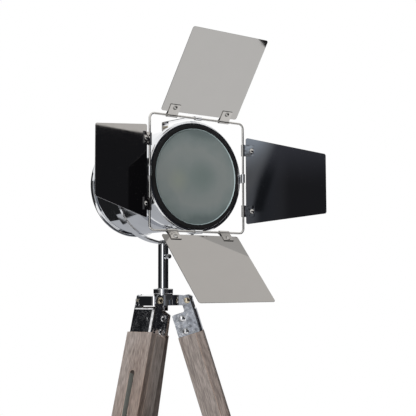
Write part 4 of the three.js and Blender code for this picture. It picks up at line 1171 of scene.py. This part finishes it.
def surface(tree, factor, first, second):
    """Makes the first shader the surface where the factor is 0, and the second where it is 1."""
    both = node(tree, "MixShader", [(0, factor), (1, first), (2, second)]).outputs[0]
    node(tree, "OutputMaterial", [("Surface", both)])


def show_to_mirrors_only(card):
    for ray in ("camera", "diffuse", "shadow", "transmission"):
        setattr(card, f"visible_{ray}", False)


def disc(radius):
    bm = bmesh.new()
    bmesh.ops.create_circle(bm, cap_ends=True, segments=96, radius=radius)
    return bm


def grey(value):
    return (value, value, value)


def seen_directly_or_mirrored(tree):
    """1 for camera, glossy and transmission rays, 0 for the rays that carry diffuse light."""
    path = node(tree, "LightPath").outputs
    first = maths(tree, "MAXIMUM", path["Is Camera Ray"], path["Is Glossy Ray"])
    return maths(tree, "MAXIMUM", first, path["Is Transmission Ray"])


AMBIENT = 0.135
FLOOR_LIFT = 0.25
FLOOR_RADIUS = 7
CARD_STEPS = 64


def make_world():
    world = bpy.data.worlds.new("studio")
    scene.world = world
    world.use_nodes = True
    tree = world.node_tree
    strength = spread(tree, seen_directly_or_mirrored(tree), AMBIENT, 1.0, 0.0, 1.0)
    tree.nodes["Background"].inputs["Color"].default_value = (1, 1, 1, 1)
    tree.links.new(strength, tree.nodes["Background"].inputs["Strength"])


def make_floor():
    """A matt pale floor that takes the lamp's shadow and fades into the white surroundings far away.

    It glows a little to the camera, so that it looks white outside the shadow.
    """
    material, tree = empty_material("floor")
    straight = seen_directly_or_mirrored(tree)
    away = distance(tree, node(tree, "NewGeometry").outputs["Position"])
    seen = maths(tree, "MULTIPLY", smooth_step(tree, away, 0.8, 1.5), straight)
    matt = node(tree, "BsdfDiffuse", [("Color", grey(0.93))]).outputs[0]
    lift = emission(tree, grey(1), maths(tree, "MULTIPLY", straight, FLOOR_LIFT))
    near = node(tree, "AddShader", [(0, matt), (1, lift)]).outputs[0]
    surface(tree, seen, near, emission(tree, grey(1)))
    floor = new_object("floor", disc(FLOOR_RADIUS), material)


def between(points, azimuth):
    """What lies at an azimuth on straight lines between points, each (azimuth, low, high)."""
    for start, end in zip(points, points[1:]):
        if azimuth <= end[0]:
            part = (azimuth - start[0]) / (end[0] - start[0])
            return start[1] + (end[1] - start[1]) * part, start[2] + (end[2] - start[2]) * part
    return points[-1][1:]


def make_card(name, radius, edges, stops, side=2.0, top=0.02, bottom=0.0, lean=0.0):
    """A curved card round the lamp that only mirrored rays see.

    Its lower and upper edges run through edges, each (azimuth, low, high), and its brightness goes through
    the (azimuth, colour) stops. It fades over side, in degrees, and over the parts of its height top and
    bottom. Its foot is turned from its top by lean, in degrees.
    """
    first, last = edges[0][0], edges[-1][0]
    bm = bmesh.new()
    across = bm.loops.layers.uv.new("across")
    columns = []
    for i in range(CARD_STEPS + 1):
        azimuth = first + (last - first) * i / CARD_STEPS
        ends = zip((direction(azimuth + lean, 0), direction(azimuth, 0)), between(edges, azimuth))
        columns.append([bm.verts.new((out.x * radius, out.y * radius, z)) for out, z in ends])
    for i in range(CARD_STEPS):
        face = bm.faces.new((columns[i][0], columns[i + 1][0], columns[i + 1][1], columns[i][1]))
        for loop, (step, height) in zip(face.loops, [(i, 0), (i + 1, 0), (i + 1, 1), (i, 1)]):
            loop[across].uv = (step / CARD_STEPS, height)
    material, tree = empty_material(name)
    uv = node(tree, "SeparateXYZ", [(0, node(tree, "TexCoord").outputs["UV"])]).outputs
    color = shades(tree, uv["X"], [((azimuth - first) / (last - first), shade) for azimuth, shade in stops])
    soft = side / (last - first)
    mask = smooth_step(tree, uv["X"], 0.0, soft)
    fades = [("X", 1.0, 1 - soft), ("Y", 1.0, 1 - top)]
    if bottom:
        fades.append(("Y", 0.0, bottom))
    for way, start, end in fades:
        mask = maths(tree, "MULTIPLY", mask, smooth_step(tree, uv[way], start, end))
    surface(tree, mask, node(tree, "BsdfTransparent").outputs[0], emission(tree, color))
    card = new_object(name, bm, material)
    card.location = (STEM_AXIS.x, STEM_AXIS.y, 0)
    show_to_mirrors_only(card)


def make_even_card(name, radius, span, heights, colors, **fading):
    """A card between two azimuths and two heights, with a colour for each of its sides."""
    edges = [(azimuth, *heights) for azimuth in span]
    make_card(name, radius, edges, list(zip(span, colors)), **fading)


def make_cards():
    """Dark flags beside and behind the lamp and a graded wall in front, which give the metal its bands."""
    make_card("right_flag", 1.82, [(19.5, 0, 1.61), (74, 0, 1.648), (84.3, 0, 1.598), (132, 0, 1.6)],
              [(19.5, (.03, .032, .04)), (24, (.018, .019, .024)), (40, (.008, .008, .01)),
               (74, (.0155, .016, .019)), (132, grey(.012))], side=1.8, top=0.003)
    make_even_card("right_wall", 1.95, (58, 115), (1.5, 6), [(.88, .86, .84)] * 2)
    make_card("left_flag", 1.5, [(-200, .8, 1.16), (-184, .6, 1.16), (-176, .26, 1.2), (-170, .24, 1.85),
                                 (-165, .32, 1.9), (-160, .44, 1.9), (-154, .40, 1.9), (-98, .35, 1.9)],
              [(-200, grey(.013)), (-98, (.014, .015, .017))])
    make_even_card("rear_screen", 1.56, (125, 206), (0, 1.05), [(.41, .42, .45), (.43, .44, .46)])
    make_card("front_wall", 1.82, [(-102, .3, 1.6), (21, .3, 1.6)], [
        (-102, (.015, .016, .018)), (-94.6, grey(.05)), (-71, grey(.22)), (-59, grey(.6)), (-54, grey(2.4)),
        (-46.4, grey(2.4)), (-44.8, (.40, .40, .42)), (-43, (.32, .33, .35)), (-41, (.46, .48, .51)),
        (-39.2, (.30, .32, .36)), (-37.5, (.44, .46, .50)), (-35, (.30, .32, .36)), (-31, (.34, .36, .39)),
        (-28, (.19, .205, .23)), (-16, grey(.07)), (-6, grey(.04)), (1, (.045, .05, .06)),
        (4, (.12, .135, .16)), (5.2, (.11, .12, .14)), (6, (.03, .034, .042)), (7.5, (.037, .04, .05)),
        (8.6, (.036, .038, .045)), (9.4, (.0225, .0235, .028)), (21, (.0205, .0215, .0255))], side=2.4)
    make_even_card("window_haze", 1.81, (3, 21), (1.36, 1.58), [(.072, .077, .1), (.066, .07, .088)],
                   bottom=1.0)
    make_even_card("window_frame", 1.80, (6.9, 8.9), (1.28, 1.5), [(.014, .016, .02)] * 2,
                   side=0.7, top=0.6, lean=-2.2)
    make_even_card("window_glow", 1.79, (0, 9.4), (1.3, 1.59), [(.13, .135, .15), (.15, .16, .18)],
                   side=1.4, bottom=0.3, lean=-4.4)
    make_even_card("window_corner", 1.78, (0, 9.6), (1.4, 1.6), [(.5, .58, .7)] * 2,
                   side=3.2, bottom=1.0, lean=-3)


def make_floor_flag():
    """A dark disc under the lamp that only mirrored rays see."""
    material, tree = empty_material("floor_flag")
    away = smooth_step(tree, distance(tree, own_place(tree)), 0.8, 1.3)
    dark = emission(tree, (0.07, 0.075, 0.085))
    surface(tree, away, dark, node(tree, "BsdfTransparent").outputs[0])
    flag = new_object("floor_flag", disc(1.5), material)
    flag.location = Vector((STEM_AXIS.x, STEM_AXIS.y, 0.004)) + direction(180, 0) * 0.45
    show_to_mirrors_only(flag)


def make_lamp(name, energy, width, toward):
    """A broad sun lamp in the direction toward, which mirrored rays don't see."""
    data = bpy.data.lights.new(name, "SUN")
    data.energy = energy
    data.angle = math.radians(width)
    lamp = bpy.data.objects.new(name, data)
    scene.collection.objects.link(lamp)
    lamp.rotation_mode = "QUATERNION"
    lamp.rotation_quaternion = toward.to_track_quat("Z", "Y")
    lamp.visible_glossy = False


scene.view_settings.view_transform = "Standard"
make_camera()
make_world()
make_floor()
make_cards()
make_floor_flag()
make_lamp("key", 2.8, 30, direction(-60, 25))
make_lamp("fill", 1.4, 60, direction(135, 35))
